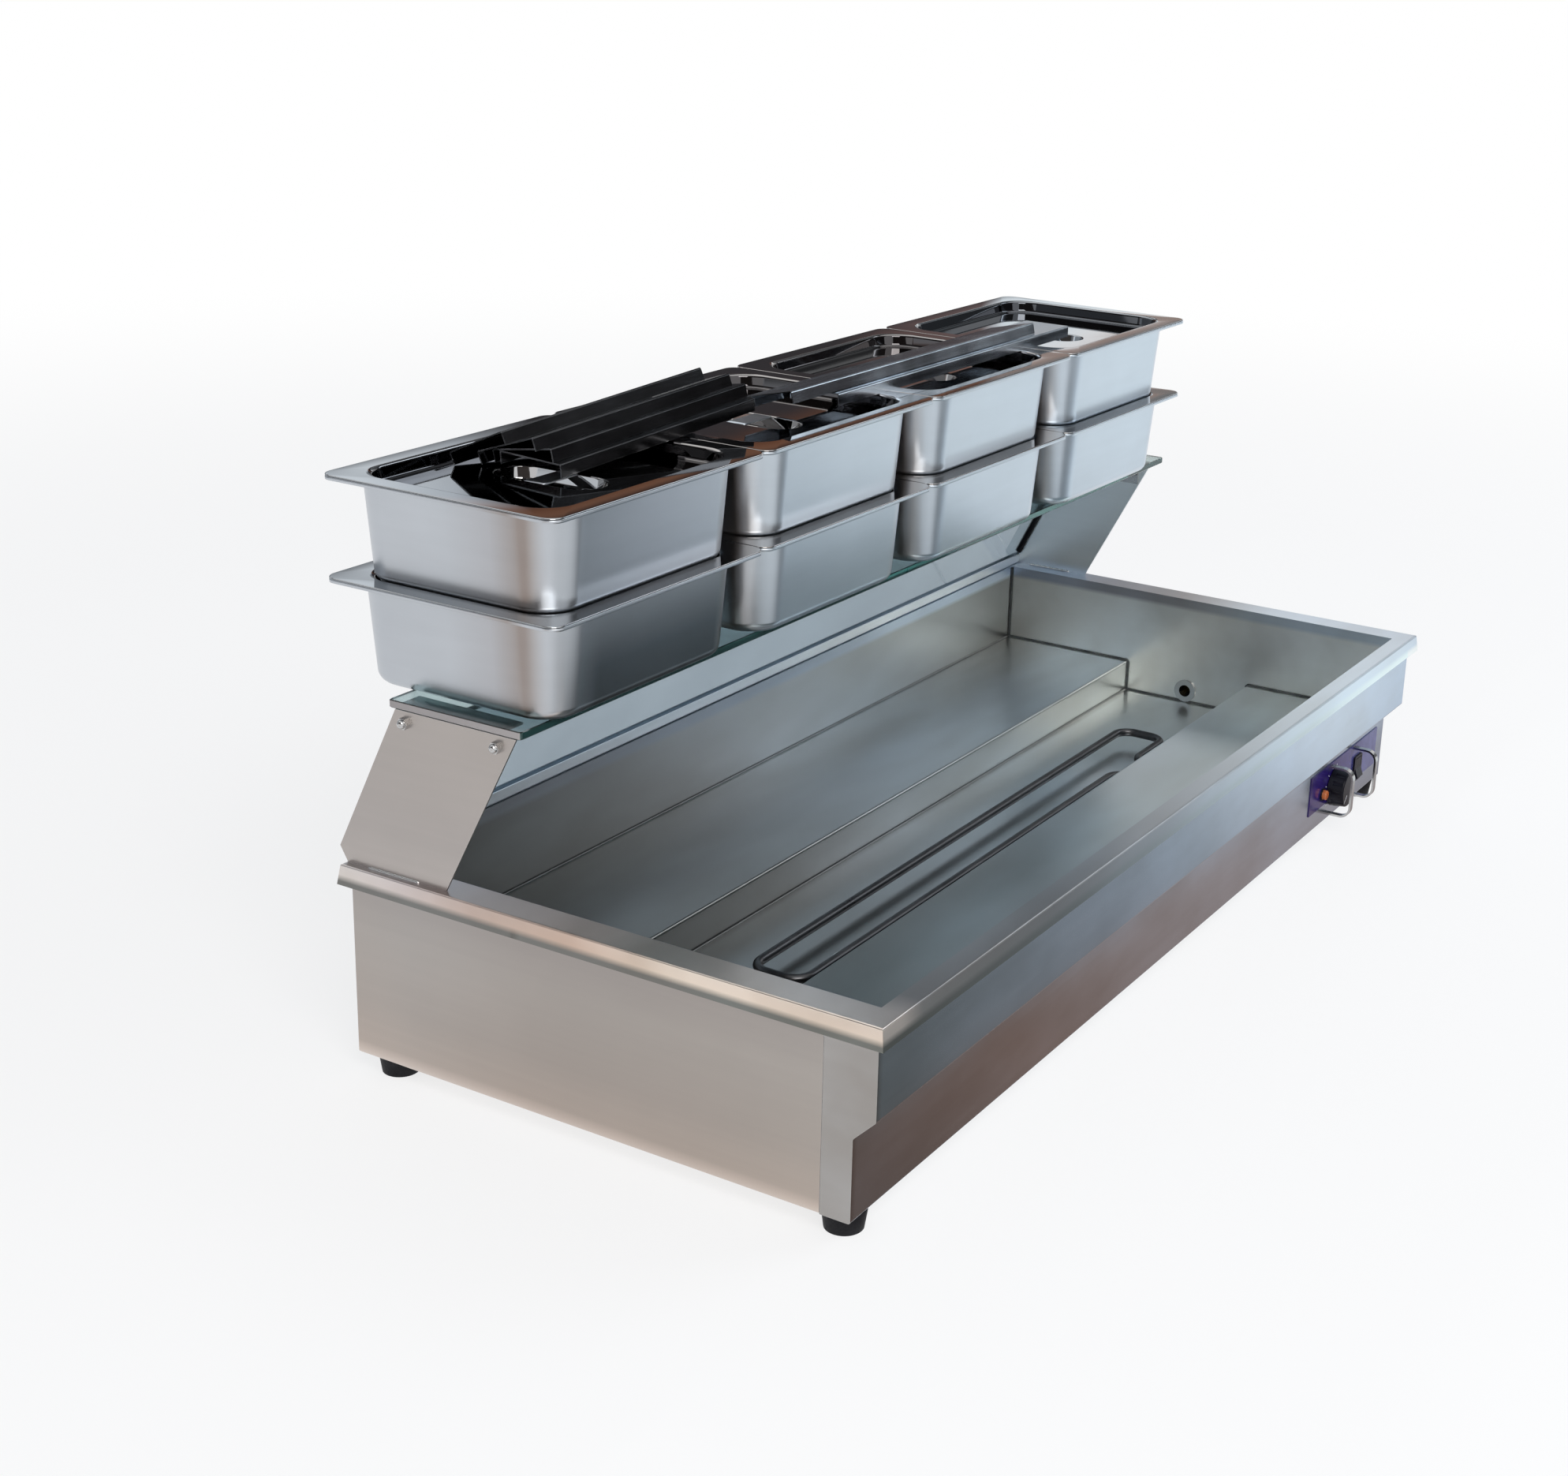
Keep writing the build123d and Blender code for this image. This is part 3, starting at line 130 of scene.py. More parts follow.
def make_piece(name, patches, body, coat, ends=()):
    """One mesh from grids of points in millimetres; ends lists rows that close as flat caps."""
    points, faces, start = [], [], 0
    for grid in patches:
        rows, columns = grid.shape[:2]
        points.append(grid.reshape(-1, 3))
        faces += (grid_faces(rows, columns) + start).tolist()
        start += rows * columns
    for patch, last in ends:
        first = sum(g.shape[0] * g.shape[1] for g in patches[:patch])
        rows, columns = patches[patch].shape[:2]
        rim = first + (rows - 1) * columns * last + np.arange(columns)
        faces.append((rim if last else rim[::-1]).tolist())
    mesh = bpy.data.meshes.new(name)
    mesh.from_pydata((np.vstack(points) * mm).tolist(), [], faces)
    mesh.polygons.foreach_set("use_smooth", np.ones(len(mesh.polygons), dtype=bool))
    mesh.materials.append(coat)
    piece = bpy.data.objects.new(name, mesh)
    bpy.context.scene.collection.objects.link(piece)
    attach(piece, body)
    return piece


def thicken(piece, sheet):
    """Gives a skin its sheet thickness on the far side, and keeps its flats flat."""
    wall = piece.modifiers.new("sheet", "SOLIDIFY")
    wall.thickness = sheet * mm
    wall.offset = -1.0
    piece.modifiers.new("flats", "WEIGHTED_NORMAL")


def arc(centre_in, centre_z, radius, first, last, count=lip_points):
    """Points of a circular arc in the section plane, inset from the edge against height."""
    turn = np.linspace(first, last, count)
    return np.stack([centre_in + radius * np.cos(turn), centre_z + radius * np.sin(turn)], axis=-1)


def pan_section():
    """Inset and height from the turned-down edge over the land, down the drafted wall, to the floor."""
    bottom = -pan_depth + pan_floor_radius
    foot = pan_land + math.tan(pan_draft) * (-bottom + pan_floor_radius * math.sin(pan_draft))
    floor_in = foot + pan_floor_radius * math.cos(pan_draft)
    return np.vstack([
        [[0.0, -pan_edge_drop], [0.0, -pan_edge_radius - pan_edge_start]],
        arc(pan_edge_radius, -pan_edge_radius, pan_edge_radius, outward, upward),
        arc(pan_land - pan_lip_radius, -pan_lip_radius, pan_lip_radius, upward, inward),
        arc(floor_in, bottom, pan_floor_radius, outward + pan_draft, downward, floor_points),
        [[floor_in + pan_floor_run, -pan_depth]],
    ])


def pan_grid(x, y, rim_z):
    """Pan skin: its section carried round rounded rectangles that shrink with the inset."""
    inset, height = pan_section().T
    corner = np.where(
        inset <= pan_land,
        pan_corner + (pan_mouth_corner - pan_corner) * inset / pan_land,
        np.maximum(pan_mouth_corner - (inset - pan_land), pan_least_corner),
    )
    rings = rounded_rings(pan_half[0] - inset, pan_half[1] - inset, corner, height)
    return rings + np.array([x, y, rim_z])


def lid_grid(x, y, rim_z):
    """Lid skin: a flat land, a drafted recess and a long cup in its floor, as shrinking rings."""
    floor_z = lid_sheet - lid_depth
    down = lid_depth - lid_floor_radius
    foot = lid_mouth_inset + math.tan(lid_draft) * down
    floor_in = foot + lid_floor_radius * math.cos(lid_draft)
    lip_in, lip_z = lid_mouth_inset - lid_lip_radius, lid_sheet - lid_lip_radius
    section = np.vstack([
        [[0.0, lid_edge_low], [0.0, lid_edge_high]],
        arc(lid_edge_radius, lid_sheet - lid_edge_radius, lid_edge_radius, outward, upward, edge_points),
        arc(lip_in, lip_z, lid_lip_radius, upward, inward),
        arc(floor_in, floor_z + lid_floor_radius, lid_floor_radius, outward + lid_draft, downward),
    ])
    inset, height = section.T
    corner = np.where(
        inset <= lid_mouth_inset,
        pan_corner + (lid_mouth_corner - pan_corner) * inset / lid_mouth_inset,
        lid_mouth_corner - (inset - lid_mouth_inset),
    )
    cup_bottom = floor_z - cup_depth
    cup_in = math.tan(cup_draft) * (cup_depth - cup_floor_radius) + cup_floor_radius * math.cos(cup_draft)
    cup = np.vstack([
        arc(-cup_lip_radius, floor_z - cup_lip_radius, cup_lip_radius, upward, inward),
        arc(cup_in, cup_bottom + cup_floor_radius, cup_floor_radius, outward + cup_draft, downward),
        [[cup_in + cup_floor_run, cup_bottom]],
    ])
    cup_inset, cup_height = cup.T
    half_x = np.concatenate([pan_half[0] - inset, cup_half[0] - cup_inset])
    half_y = np.concatenate([pan_half[1] - inset, cup_half[1] - cup_inset])
    corners = np.concatenate([corner, np.maximum(cup_half[0] - cup_inset - cup_flat, cup_least_corner)])
    rings = rounded_rings(half_x, half_y, corners, np.concatenate([height, cup_height]))
    return rings + np.array([x, y, rim_z])


def strap_grid(x, y, rim_z):
    """Grip strap: a flat section with rounded edges carried across the cup."""
    stations = np.linspace(-strap_half_length, strap_half_length, strap_rows)
    middle_z = lid_sheet - lid_depth - strap_half_sheet
    section = rounded_rings(
        np.array([strap_half_width]), np.array([strap_half_sheet]), np.array([strap_edge]), np.zeros(1)
    )[0]
    ring = np.stack([np.zeros(len(section)), section[:, 0], section[:, 1] + middle_z], axis=-1)
    rows = ring[None] + stations[:, None, None] * np.array([1.0, 0.0, 0.0])
    return rows + np.array([x, y, rim_z])


def plate_grid(low, high, arris):
    """Glass plate: rounded rectangles stacked from the lower arris up the cut edge to the upper arris."""
    middle, half = 0.5 * (low + high), 0.5 * (high - low)
    inset = np.array([arris, 0.0, 0.0, arris])
    height = np.array([-half[2], arris - half[2], half[2] - arris, half[2]])
    rings = rounded_rings(half[0] - inset, half[1] - inset, np.full(4, plate_corner), height)
    return rings + middle


def bead_grid(start, end, radius):
    """Weld bead: round rings along a line, whose radius swells from puddle to puddle and shrinks at the ends."""
    share = np.linspace(0.0, 1.0, bead_rows)
    run = share * np.linalg.norm(end - start)
    puddles = bead_swell * np.abs(np.sin(np.pi * run / bead_puddle))
    ripple = 1.0 + puddles + bead_sway * np.sin(run * bead_sway_rate)
    ends = np.sqrt(np.clip(1.0 - (2.0 * share - 1.0) ** bead_end_power, bead_end_least, 1.0))
    turn = np.linspace(0.0, 2.0 * np.pi, bead_sides, endpoint=False)
    size = radius * ripple * ends
    ring = np.stack([np.cos(turn), np.zeros(bead_sides), np.sin(turn)], axis=-1)
    return start + share[:, None, None] * (end - start) + size[:, None, None] * ring


def mark_grid(turn, middle, first, last, half, face_y):
    """Printed mark on an upright face: a rounded bar from one radius to another, turned about the knob's axis."""
    half_length = 0.5 * (last - first)
    corner = min(half, half_length) * mark_round
    rings = rounded_rings(
        np.full(2, half_length), np.full(2, half), np.full(2, corner), np.array([-mark_sunk, mark_sheet])
    )
    reach = rings[..., 0] + 0.5 * (first + last)
    x = middle[0] + reach * np.cos(turn) - rings[..., 1] * np.sin(turn)
    z = middle[2] + reach * np.sin(turn) + rings[..., 1] * np.cos(turn)
    return np.stack([x, face_y - rings[..., 2], z], axis=-1)


# Materials: node trees from a few small builders. A layer of colour is an axis, the lowest and highest
# place on it in metres, and stops of place and colour.
noise_low, noise_high = 0.3, 0.7

# Metal: drawn lines, haze of handling marks (tinted on some sheets as a painted reflection), and bright edges that
# are partly scuffing and partly painted highlight
line_detail, haze_detail = 2.0, 3.0
haze_low, haze_high, haze_shift = 0.32, 0.68, (0.7, 0.2, 0.4)
line_share, rough_from, rough_to = 0.25, 0.35, 0.90
grain_strength, grain_height = 0.3, 0.00002
edge_flat, edge_turned, edge_samples, worn_and_highlight_dark = 0.995, 0.80, 4, 0.85
# Painted shade on plain sheets: a little darker at the floor, full colour from this height up
shade_top, painted_shade_low_share = 0.65, 0.94

# Glass: film of grease, and which way a face has to point to count as a cut edge
glass_bend, glass_density = 1.52, 4.0
film_scale, film_detail, film_rough = 7.0, 2.0, (0.01, 0.05)
film_dark, film_light, cut_dark = 0.95, 1.05, 0.77
cut_face, cut_side = 0.30, 0.15

# Plastic and rubber: pebbled skin and dust
pebble_detail, pebble_height = 3.0, 0.0003
dust_scale, dust_detail, dust_low, dust_high = 45.0, 4.0, 0.35, 0.75

# Printed film: rubbed patches and gloss
rub_scale, rub_detail, rub_low, rub_high = 55.0, 3.0, 0.35, 0.70
rub_dark, rub_rough, rub_strength, rub_height = 0.72, (0.06, 0.20), 0.05, 0.0002
film_gloss = 0.7


def grey(value):
    """A colour without a hue."""
    return (value, value, value)


def scaled(colour, share):
    """A colour made darker or lighter."""
    return tuple(share * channel for channel in colour)


full, none = grey(1.0), grey(0.0)


def new_coat(name):
    """A fresh material with its shader and node tree."""
    coat = bpy.data.materials.new(name)
    coat.use_nodes = True
    tree = coat.node_tree
    return coat, tree, tree.nodes["Principled BSDF"]


def object_noise(tree, stretch, scale, detail, shift=none):
    """Noise over Object coordinates, stretched along the axes."""
    spot = tree.nodes.new("ShaderNodeTexCoord")
    place = tree.nodes.new("ShaderNodeMapping")
    place.inputs["Scale"].default_value = stretch
    place.inputs["Location"].default_value = shift
    tree.links.new(spot.outputs["Object"], place.inputs["Vector"])
    noise = tree.nodes.new("ShaderNodeTexNoise")
    noise.inputs["Scale"].default_value = scale
    noise.inputs["Detail"].default_value = detail
    tree.links.new(place.outputs["Vector"], noise.inputs["Vector"])
    return noise.outputs["Fac"]


def tones(tree, value, stops):
    """Colour ramp from pairs of position and colour."""
    ramp = tree.nodes.new("ShaderNodeValToRGB")
    row = ramp.color_ramp.elements
    while len(row) < len(stops):
        row.new(0.5)
    for element, (position, colour) in zip(row, stops):
        element.position = position
        element.color = (*colour, 1.0)
    tree.links.new(value, ramp.inputs["Fac"])
    return ramp.outputs["Color"]


def spread(tree, value, low, high, lowest=noise_low, highest=noise_high):
    """Maps a value from its own range, which is a noise's unless it is given, to another."""
    scale = tree.nodes.new("ShaderNodeMapRange")
    scale.inputs["From Min"].default_value = lowest
    scale.inputs["From Max"].default_value = highest
    scale.inputs["To Min"].default_value = low
    scale.inputs["To Max"].default_value = high
    tree.links.new(value, scale.inputs["Value"])
    return scale.outputs["Result"]


def reckon(tree, operation, *values):
    """Arithmetic on node values: a number is set and a socket is linked."""
    step = tree.nodes.new("ShaderNodeMath")
    step.operation = operation
    for place, value in enumerate(values):
        if isinstance(value, float):
            step.inputs[place].default_value = value
        else:
            tree.links.new(value, step.inputs[place])
    return step.outputs[0]


def blend_colours(tree, first, second, factor=1.0, mode="MULTIPLY"):
    """Mixes two colours, by a constant share or by a mask."""
    mix = tree.nodes.new("ShaderNodeMix")
    mix.data_type = "RGBA"
    mix.blend_type = mode
    if isinstance(factor, float):
        mix.inputs["Factor"].default_value = factor
    else:
        tree.links.new(factor, mix.inputs["Factor"])
    tree.links.new(first, mix.inputs["A"])
    tree.links.new(second, mix.inputs["B"])
    return mix.outputs["Result"]


def relief(tree, shader, height, strength, distance):
    """Bump on the shader's normal."""
    bump = tree.nodes.new("ShaderNodeBump")
    bump.inputs["Strength"].default_value = strength
    bump.inputs["Distance"].default_value = distance
    tree.links.new(height, bump.inputs["Height"])
    tree.links.new(bump.outputs["Normal"], shader.inputs["Normal"])


def along(tree, axis, low, high, stops):
    """Colours that change along one Object axis, from a lowest to a highest place in metres."""
    spot = tree.nodes.new("ShaderNodeTexCoord")
    split = tree.nodes.new("ShaderNodeSeparateXYZ")
    tree.links.new(spot.outputs["Object"], split.inputs["Vector"])
    share = spread(tree, split.outputs[axis], 0.0, 1.0, low, high)
    return tones(tree, share, [((place - low) / (high - low), colour) for place, colour in stops])


def layered(tree, layers):
    """Layers of colour along an axis, multiplied together."""
    colour = along(tree, *layers[0])
    for layer in layers[1:]:
        colour = blend_colours(tree, colour, along(tree, *layer))
    return colour


def worn_and_highlight_edges(tree, radius):
    """A mask along edges: how far a rounded normal turns away from the face's own."""
    soft = tree.nodes.new("ShaderNodeBevel")
    soft.samples = edge_samples
    soft.inputs["Radius"].default_value = radius
    face = tree.nodes.new("ShaderNodeNewGeometry")
    turn = tree.nodes.new("ShaderNodeVectorMath")
    turn.operation = "DOT_PRODUCT"
    tree.links.new(soft.outputs["Normal"], turn.inputs[0])
    tree.links.new(face.outputs["Normal"], turn.inputs[1])
    return spread(tree, turn.outputs["Value"], 0.0, 1.0, edge_flat, edge_turned)


def satin_sheet(name, ground, grain, rough, streak=0.05, cloud=0.10, cloud_scale=5.0, wear_and_highlight=0.0,
                worn_and_highlight_tint=(0.7, 0.7, 0.7), marks_and_reflection_tint=full, drift=full, covers=()):
    """Satin metal sheet: fine drawn streaks, a soft haze of handling smudges that dulls it and on some sheets is
    tinted as a painted reflection, and bright edges that are partly scuffing and partly a painted highlight.

    ground lists layers of colour, which multiply one another; covers lists pairs of mask layers and
    colour layers, each laid over what is there.
    """
    coat, tree, shader = new_coat(name)
    colour = layered(tree, ground)
    for masks, layers in covers:
        colour = blend_colours(tree, colour, layered(tree, layers), layered(tree, masks), "MIX")
    line = object_noise(tree, grain, 1.0, line_detail)
    haze = object_noise(tree, drift, cloud_scale, haze_detail, haze_shift)
    fine = tones(tree, line, [(noise_low, grey(1.0 - streak)), (noise_high, full)])
    # Where the haze is given a warm tint, that tint is a painted reflection
    dull = tones(tree, haze, [(haze_low, scaled(marks_and_reflection_tint, 1.0 - cloud)), (haze_high, full)])
    colour = blend_colours(tree, blend_colours(tree, colour, fine), dull)
    # Edges lightened to a pale tone: partly scuffing, partly a painted highlight along folds and corners
    if wear_and_highlight:
        rubbed_and_highlight = tones(tree, line, [(noise_low, scaled(worn_and_highlight_tint, worn_and_highlight_dark)), (noise_high, worn_and_highlight_tint)])
        colour = blend_colours(tree, colour, rubbed_and_highlight, worn_and_highlight_edges(tree, wear_and_highlight), "MIX")
    tree.links.new(colour, shader.inputs["Base Color"])
    lines_and_marks = reckon(tree, "MULTIPLY_ADD", line, line_share, haze)
    tree.links.new(spread(tree, lines_and_marks, *rough, rough_from, rough_to), shader.inputs["Roughness"])
    shader.inputs["Metallic"].default_value = 1.0
    relief(tree, shader, line, grain_strength, grain_height)
    return coat


def shaded_ground(colour):
    """One ground colour for the whole sheet, a little lighter upwards, with painted shade low down."""
    return ("Z", 0.0, shade_top, [(0.0, scaled(colour, painted_shade_low_share)), (shade_top, colour)])


def plain_glass(name, tint, edges, ground, depth_tint):
    """Clear float glass with a faint film of grease: pale through the sheet, with its own tones on its cut edges.

    ground says where along an axis a cut edge is ground matt.
    """
    coat, tree, shader = new_coat(name)
    film = object_noise(tree, full, film_scale, film_detail)
    tree.links.new(spread(tree, film, *film_rough), shader.inputs["Roughness"])
    smear = tones(tree, film, [(noise_low, scaled(tint, film_dark)), (noise_high, scaled(tint, film_light))])
    rough_cut = tones(tree, film, [(noise_low, grey(cut_dark)), (noise_high, full)])
    cut = blend_colours(tree, along(tree, *edges), rough_cut)
    face = tree.nodes.new("ShaderNodeNewGeometry")
    split = tree.nodes.new("ShaderNodeSeparateXYZ")
    tree.links.new(face.outputs["Normal"], split.inputs["Vector"])
    upright = reckon(tree, "ABSOLUTE", split.outputs["Z"])
    sides = spread(tree, upright, 0.0, 1.0, cut_face, cut_side)
    tree.links.new(blend_colours(tree, smear, cut, sides, "MIX"), shader.inputs["Base Color"])
    matt = reckon(tree, "MULTIPLY", sides, along(tree, *ground))
    tree.links.new(reckon(tree, "SUBTRACT", 1.0, matt), shader.inputs["Transmission Weight"])
    shader.inputs["IOR"].default_value = glass_bend
    soak = tree.nodes.new("ShaderNodeVolumeAbsorption")
    soak.inputs["Color"].default_value = (*depth_tint, 1.0)
    soak.inputs["Density"].default_value = glass_density
    tree.links.new(soak.outputs["Volume"], tree.nodes["Material Output"].inputs["Volume"])
    return coat


def moulded(name, dark, light, rough, grain=700.0, strength=0.15, gloss=0.22):
    """Moulded plastic or rubber: fine pebbled skin, with dust in the low spots."""
    coat, tree, shader = new_coat(name)
    pebble = object_noise(tree, full, grain, pebble_detail)
    dust = object_noise(tree, full, dust_scale, dust_detail)
    tree.links.new(tones(tree, dust, [(dust_low, dark), (dust_high, light)]), shader.inputs["Base Color"])
    tree.links.new(spread(tree, pebble, *rough), shader.inputs["Roughness"])
    shader.inputs["Specular IOR Level"].default_value = gloss
    relief(tree, shader, pebble, strength, pebble_height)
    return coat


def printed_film(name, ink_and_sheen):
    """Printed plastic film: a violet print colour with a painted sheen that shifts along the plate, scuffed in
    patches, under a clear gloss skin.
    """
    coat, tree, shader = new_coat(name)
    ink_and_painted_sheen = along(tree, *ink_and_sheen)
    rub = object_noise(tree, full, rub_scale, rub_detail)
    faded = tones(tree, rub, [(rub_low, grey(rub_dark)), (rub_high, full)])
    tree.links.new(blend_colours(tree, ink_and_painted_sheen, faded), shader.inputs["Base Color"])
    tree.links.new(spread(tree, rub, *rub_rough), shader.inputs["Roughness"])
    shader.inputs["Specular IOR Level"].default_value = film_gloss
    relief(tree, shader, rub, rub_strength, rub_height)
    return coat


# Casing: end panels, brackets, and the front with its wrap round the left corner
end_x, wrap_x, lip_x = 0.66, -0.6555, 0.668
# End panels: a painted pinkish highlight along the bottom fold, painted shade under the rim and in the middle of the
# depth, and a painted reflection tint, warm on the left panel and cool on the right
end_highlight_and_shade = ("Z", 0.0, 0.24, [
    (0.020, (0.84, 0.80, 0.78)), (0.026, (0.72, 0.67, 0.64)), (0.034, (0.56, 0.525, 0.50)),
    (0.080, (0.51, 0.495, 0.485)), (0.150, grey(0.52)), (0.195, (0.47, 0.47, 0.48)),
])
end_reflection_warm_to_cool = ("X", -end_x, end_x, [(-end_x, (0.90, 0.83, 0.78)), (end_x, (0.92, 1.0, 1.0))])
end_shade_depths = ("Y", -0.29, 0.29, [
    (-0.29, (0.97, 0.97, 0.96)), (-0.12, (0.92, 0.91, 0.90)), (0.08, (0.90, 0.89, 0.885)),
    (0.22, (0.96, 0.97, 0.98)), (0.29, full),
])
end_steel = satin_sheet(
    "end_panel_steel", [end_highlight_and_shade, end_reflection_warm_to_cool, end_shade_depths], grain=(120.0, 2.0, 120.0), rough=(0.285, 0.36),
    streak=0.03, cloud=0.07, wear_and_highlight=0.0004,
)
# Brackets: painted reflection tones, warm and darker on the left bracket, pale and cool on the right, and a little
# darker higher up as painted shade
bracket_shade_heights = ("Z", 0.2, 0.4, [(0.2, full), (0.26, (0.89, 0.89, 0.90)), (0.4, grey(0.90))])
bracket_reflection_tints = ("X", -end_x, end_x, [
    (-end_x, (0.52, 0.48, 0.455)), (0.6553, (0.92, 0.98, 1.0)), (0.6560, (0.60, 0.63, 0.65)),
])
bracket_steel = satin_sheet(
    "bracket_steel", [bracket_shade_heights, bracket_reflection_tints], grain=(120.0, 3.0, 120.0), rough=(0.285, 0.36),
    streak=0.03, cloud=0.07, wear_and_highlight=0.0006,
)
# Front: painted reflections, a brown strip where the sheet wraps round the left corner, pale blue-grey along the
# face, and a warm tint in its haze
wrap_reflection_brown = (0.335, 0.30, 0.265)
front_reflection_tints = ("X", -end_x, end_x, [
    (-end_x, wrap_reflection_brown), (wrap_x, wrap_reflection_brown), (wrap_x + 0.001, (0.64, 0.70, 0.77)),
    (0.40, (0.58, 0.66, 0.77)), (end_x, (0.48, 0.57, 0.71)),
])
front_steel = satin_sheet(
    "front_panel_steel", [front_reflection_tints], grain=(2.0, 10.0, 120.0), rough=(0.16, 0.26),
    streak=0.03, cloud=0.16, cloud_scale=9.0, wear_and_highlight=0.0004, marks_and_reflection_tint=(1.0, 0.965, 0.93), drift=(0.7, 1.0, 1.5),
)
back_steel = satin_sheet(
    "back_and_base_steel", [shaded_ground((0.50, 0.52, 0.54))], grain=(2.0, 100.0, 100.0), rough=(0.22, 0.32)
)
channel_steel = satin_sheet(
    "glass_channel_steel", [shaded_ground((0.90, 0.95, 1.0))], grain=(2.0, 100.0, 100.0), rough=(0.24, 0.36)
)

# Tank: painted light and shade, lighter to the right, painted shade in its folds and on the step, painted shade on
# the rear wall, painted light on the end wall, and a painted highlight and reflection on the rim
tank_left_shade, ledge_tone = (0.265, 0.265, 0.255), (0.85, 0.86, 0.865)
front_tone, trough_tone, step_shade = (0.92, 0.99, 1.0), (0.94, 0.96, 0.97), (0.70, 0.70, 0.69)
low_fold_shade, high_fold_shade = grey(0.45), grey(0.40)
# Painted shade at the left, painted light growing to the right
tank_light_lengths = ("X", -end_x, end_x, [
    (-end_x, tank_left_shade), (-0.628, tank_left_shade), (-0.10, (0.51, 0.52, 0.53)), (0.30, (0.77, 0.83, 0.87)),
    (0.55, (0.94, 0.99, 1.0)), (end_x, (0.96, 1.0, 1.0)),
])
tank_depths = ("Y", -0.30, 0.30, [
    (-0.30, front_tone), (-0.14, front_tone), (-0.08, trough_tone), (0.080, trough_tone),
    (0.088, step_shade), (0.0905, step_shade), (0.092, ledge_tone), (0.30, ledge_tone),
])
# Painted shade in the two folds
tank_fold_shade = ("Z", 0.07, 0.12, [
    (0.0742, full), (0.0746, low_fold_shade), (0.0768, low_fold_shade), (0.0776, full),
    (0.1152, full), (0.1156, high_fold_shade), (0.1176, high_fold_shade), (0.1186, full),
])
# Painted shade over the rear wall, deeper towards its right end
rear_share = ("Y", 0.26, 0.28, [(0.2705, none), (0.2735, full)])
rear_right = ("X", -end_x, end_x, [(0.05, none), (0.60, full)])
rear_wall_shade = ("Z", 0.1, 0.22, [(0.1, (0.16, 0.165, 0.17)), (0.22, (0.26, 0.27, 0.275))])
# Painted light on the right end wall
end_share = ("X", 0.62, 0.64, [(0.6285, none), (0.6305, full)])
end_wall_light = ("Y", -0.28, 0.28, [(-0.28, (0.98, 1.0, 1.0)), (0.28, (0.96, 1.0, 1.0))])
# Painted highlight and reflection tints on the rim, cream on the left lip
rim_share = ("Z", 0.19, 0.22, [(0.200, none), (0.206, full)])
lip_highlight_cream = (0.98, 0.87, 0.76)
rim_reflection_tints = ("X", -lip_x, end_x, [
    (-lip_x, lip_highlight_cream), (-0.6656, lip_highlight_cream), (-0.6646, (1.0, 0.93, 0.88)), (-0.634, (0.94, 0.87, 0.83)),
    (-0.60, (0.46, 0.46, 0.47)), (-0.10, (0.48, 0.51, 0.54)), (0.30, (0.76, 0.88, 0.98)),
    (0.60, (0.72, 0.82, 0.92)), (end_x, (0.66, 0.75, 0.86)),
])
rim_reflection_depths = ("Y", -0.30, 0.30, [
    (-0.30, full), (-0.08, (1.0, 0.99, 0.97)), (0.02, (0.76, 0.66, 0.62)), (0.14, (0.64, 0.58, 0.58)),
    (0.22, (0.72, 0.72, 0.78)), (0.30, (0.82, 0.86, 0.92)),
])
tank_steel = satin_sheet(
    "tank_steel", [tank_light_lengths, tank_depths, tank_fold_shade], grain=(2.0, 12.0, 40.0), rough=(0.277, 0.31),
    streak=0.03, cloud=0.24, marks_and_reflection_tint=(1.0, 0.965, 0.925), drift=(0.6, 1.6, 1.6),
    covers=[
        ([rear_share, rear_right], [rear_wall_shade]), ([end_share], [end_wall_light]),
        ([rim_share], [rim_reflection_tints, rim_reflection_depths]),
    ],
)

# Pans: a painted brown reflection beside their rounded corners, painted reflection tones along the row, and painted
# shade on the front of the first pan of the lower tier
pan_reflection_tints = ("X", -end_x, end_x, [
    (-0.615, (0.56, 0.59, 0.63)), (-0.59, (0.45, 0.48, 0.52)), (-0.48, (0.52, 0.55, 0.60)),
    (-0.335, (0.58, 0.62, 0.67)), (-0.325, (0.62, 0.68, 0.74)), (end_x, (0.65, 0.73, 0.81)),
])
pan_brown_reflection = ("Y", 0.0, 0.3, [
    (0.076, full), (0.098, (0.70, 0.60, 0.54)), (0.130, (0.90, 0.87, 0.86)), (0.18, full),
])
pan_low_share = ("Z", 0.38, 0.60, [(0.480, full), (0.486, none)])
pan_front_share = ("Y", 0.0, 0.3, [(0.076, full), (0.086, none)])
pan_first_share = ("X", -end_x, end_x, [(-0.615, none), (-0.570, full), (-0.37, full), (-0.34, none)])
pan_low_shade = ("Z", 0.38, 0.50, [
    (0.39, (0.15, 0.16, 0.17)), (0.43, (0.20, 0.22, 0.24)), (0.485, (0.42, 0.44, 0.47)),
])
pan_steel = satin_sheet(
    "pan_steel", [pan_reflection_tints, pan_brown_reflection], grain=(8.0, 8.0, 90.0), rough=(0.277, 0.32),
    streak=0.03, cloud=0.08, cloud_scale=7.0,
    covers=[([pan_low_share, pan_front_share, pan_first_share], [pan_low_shade])],
)

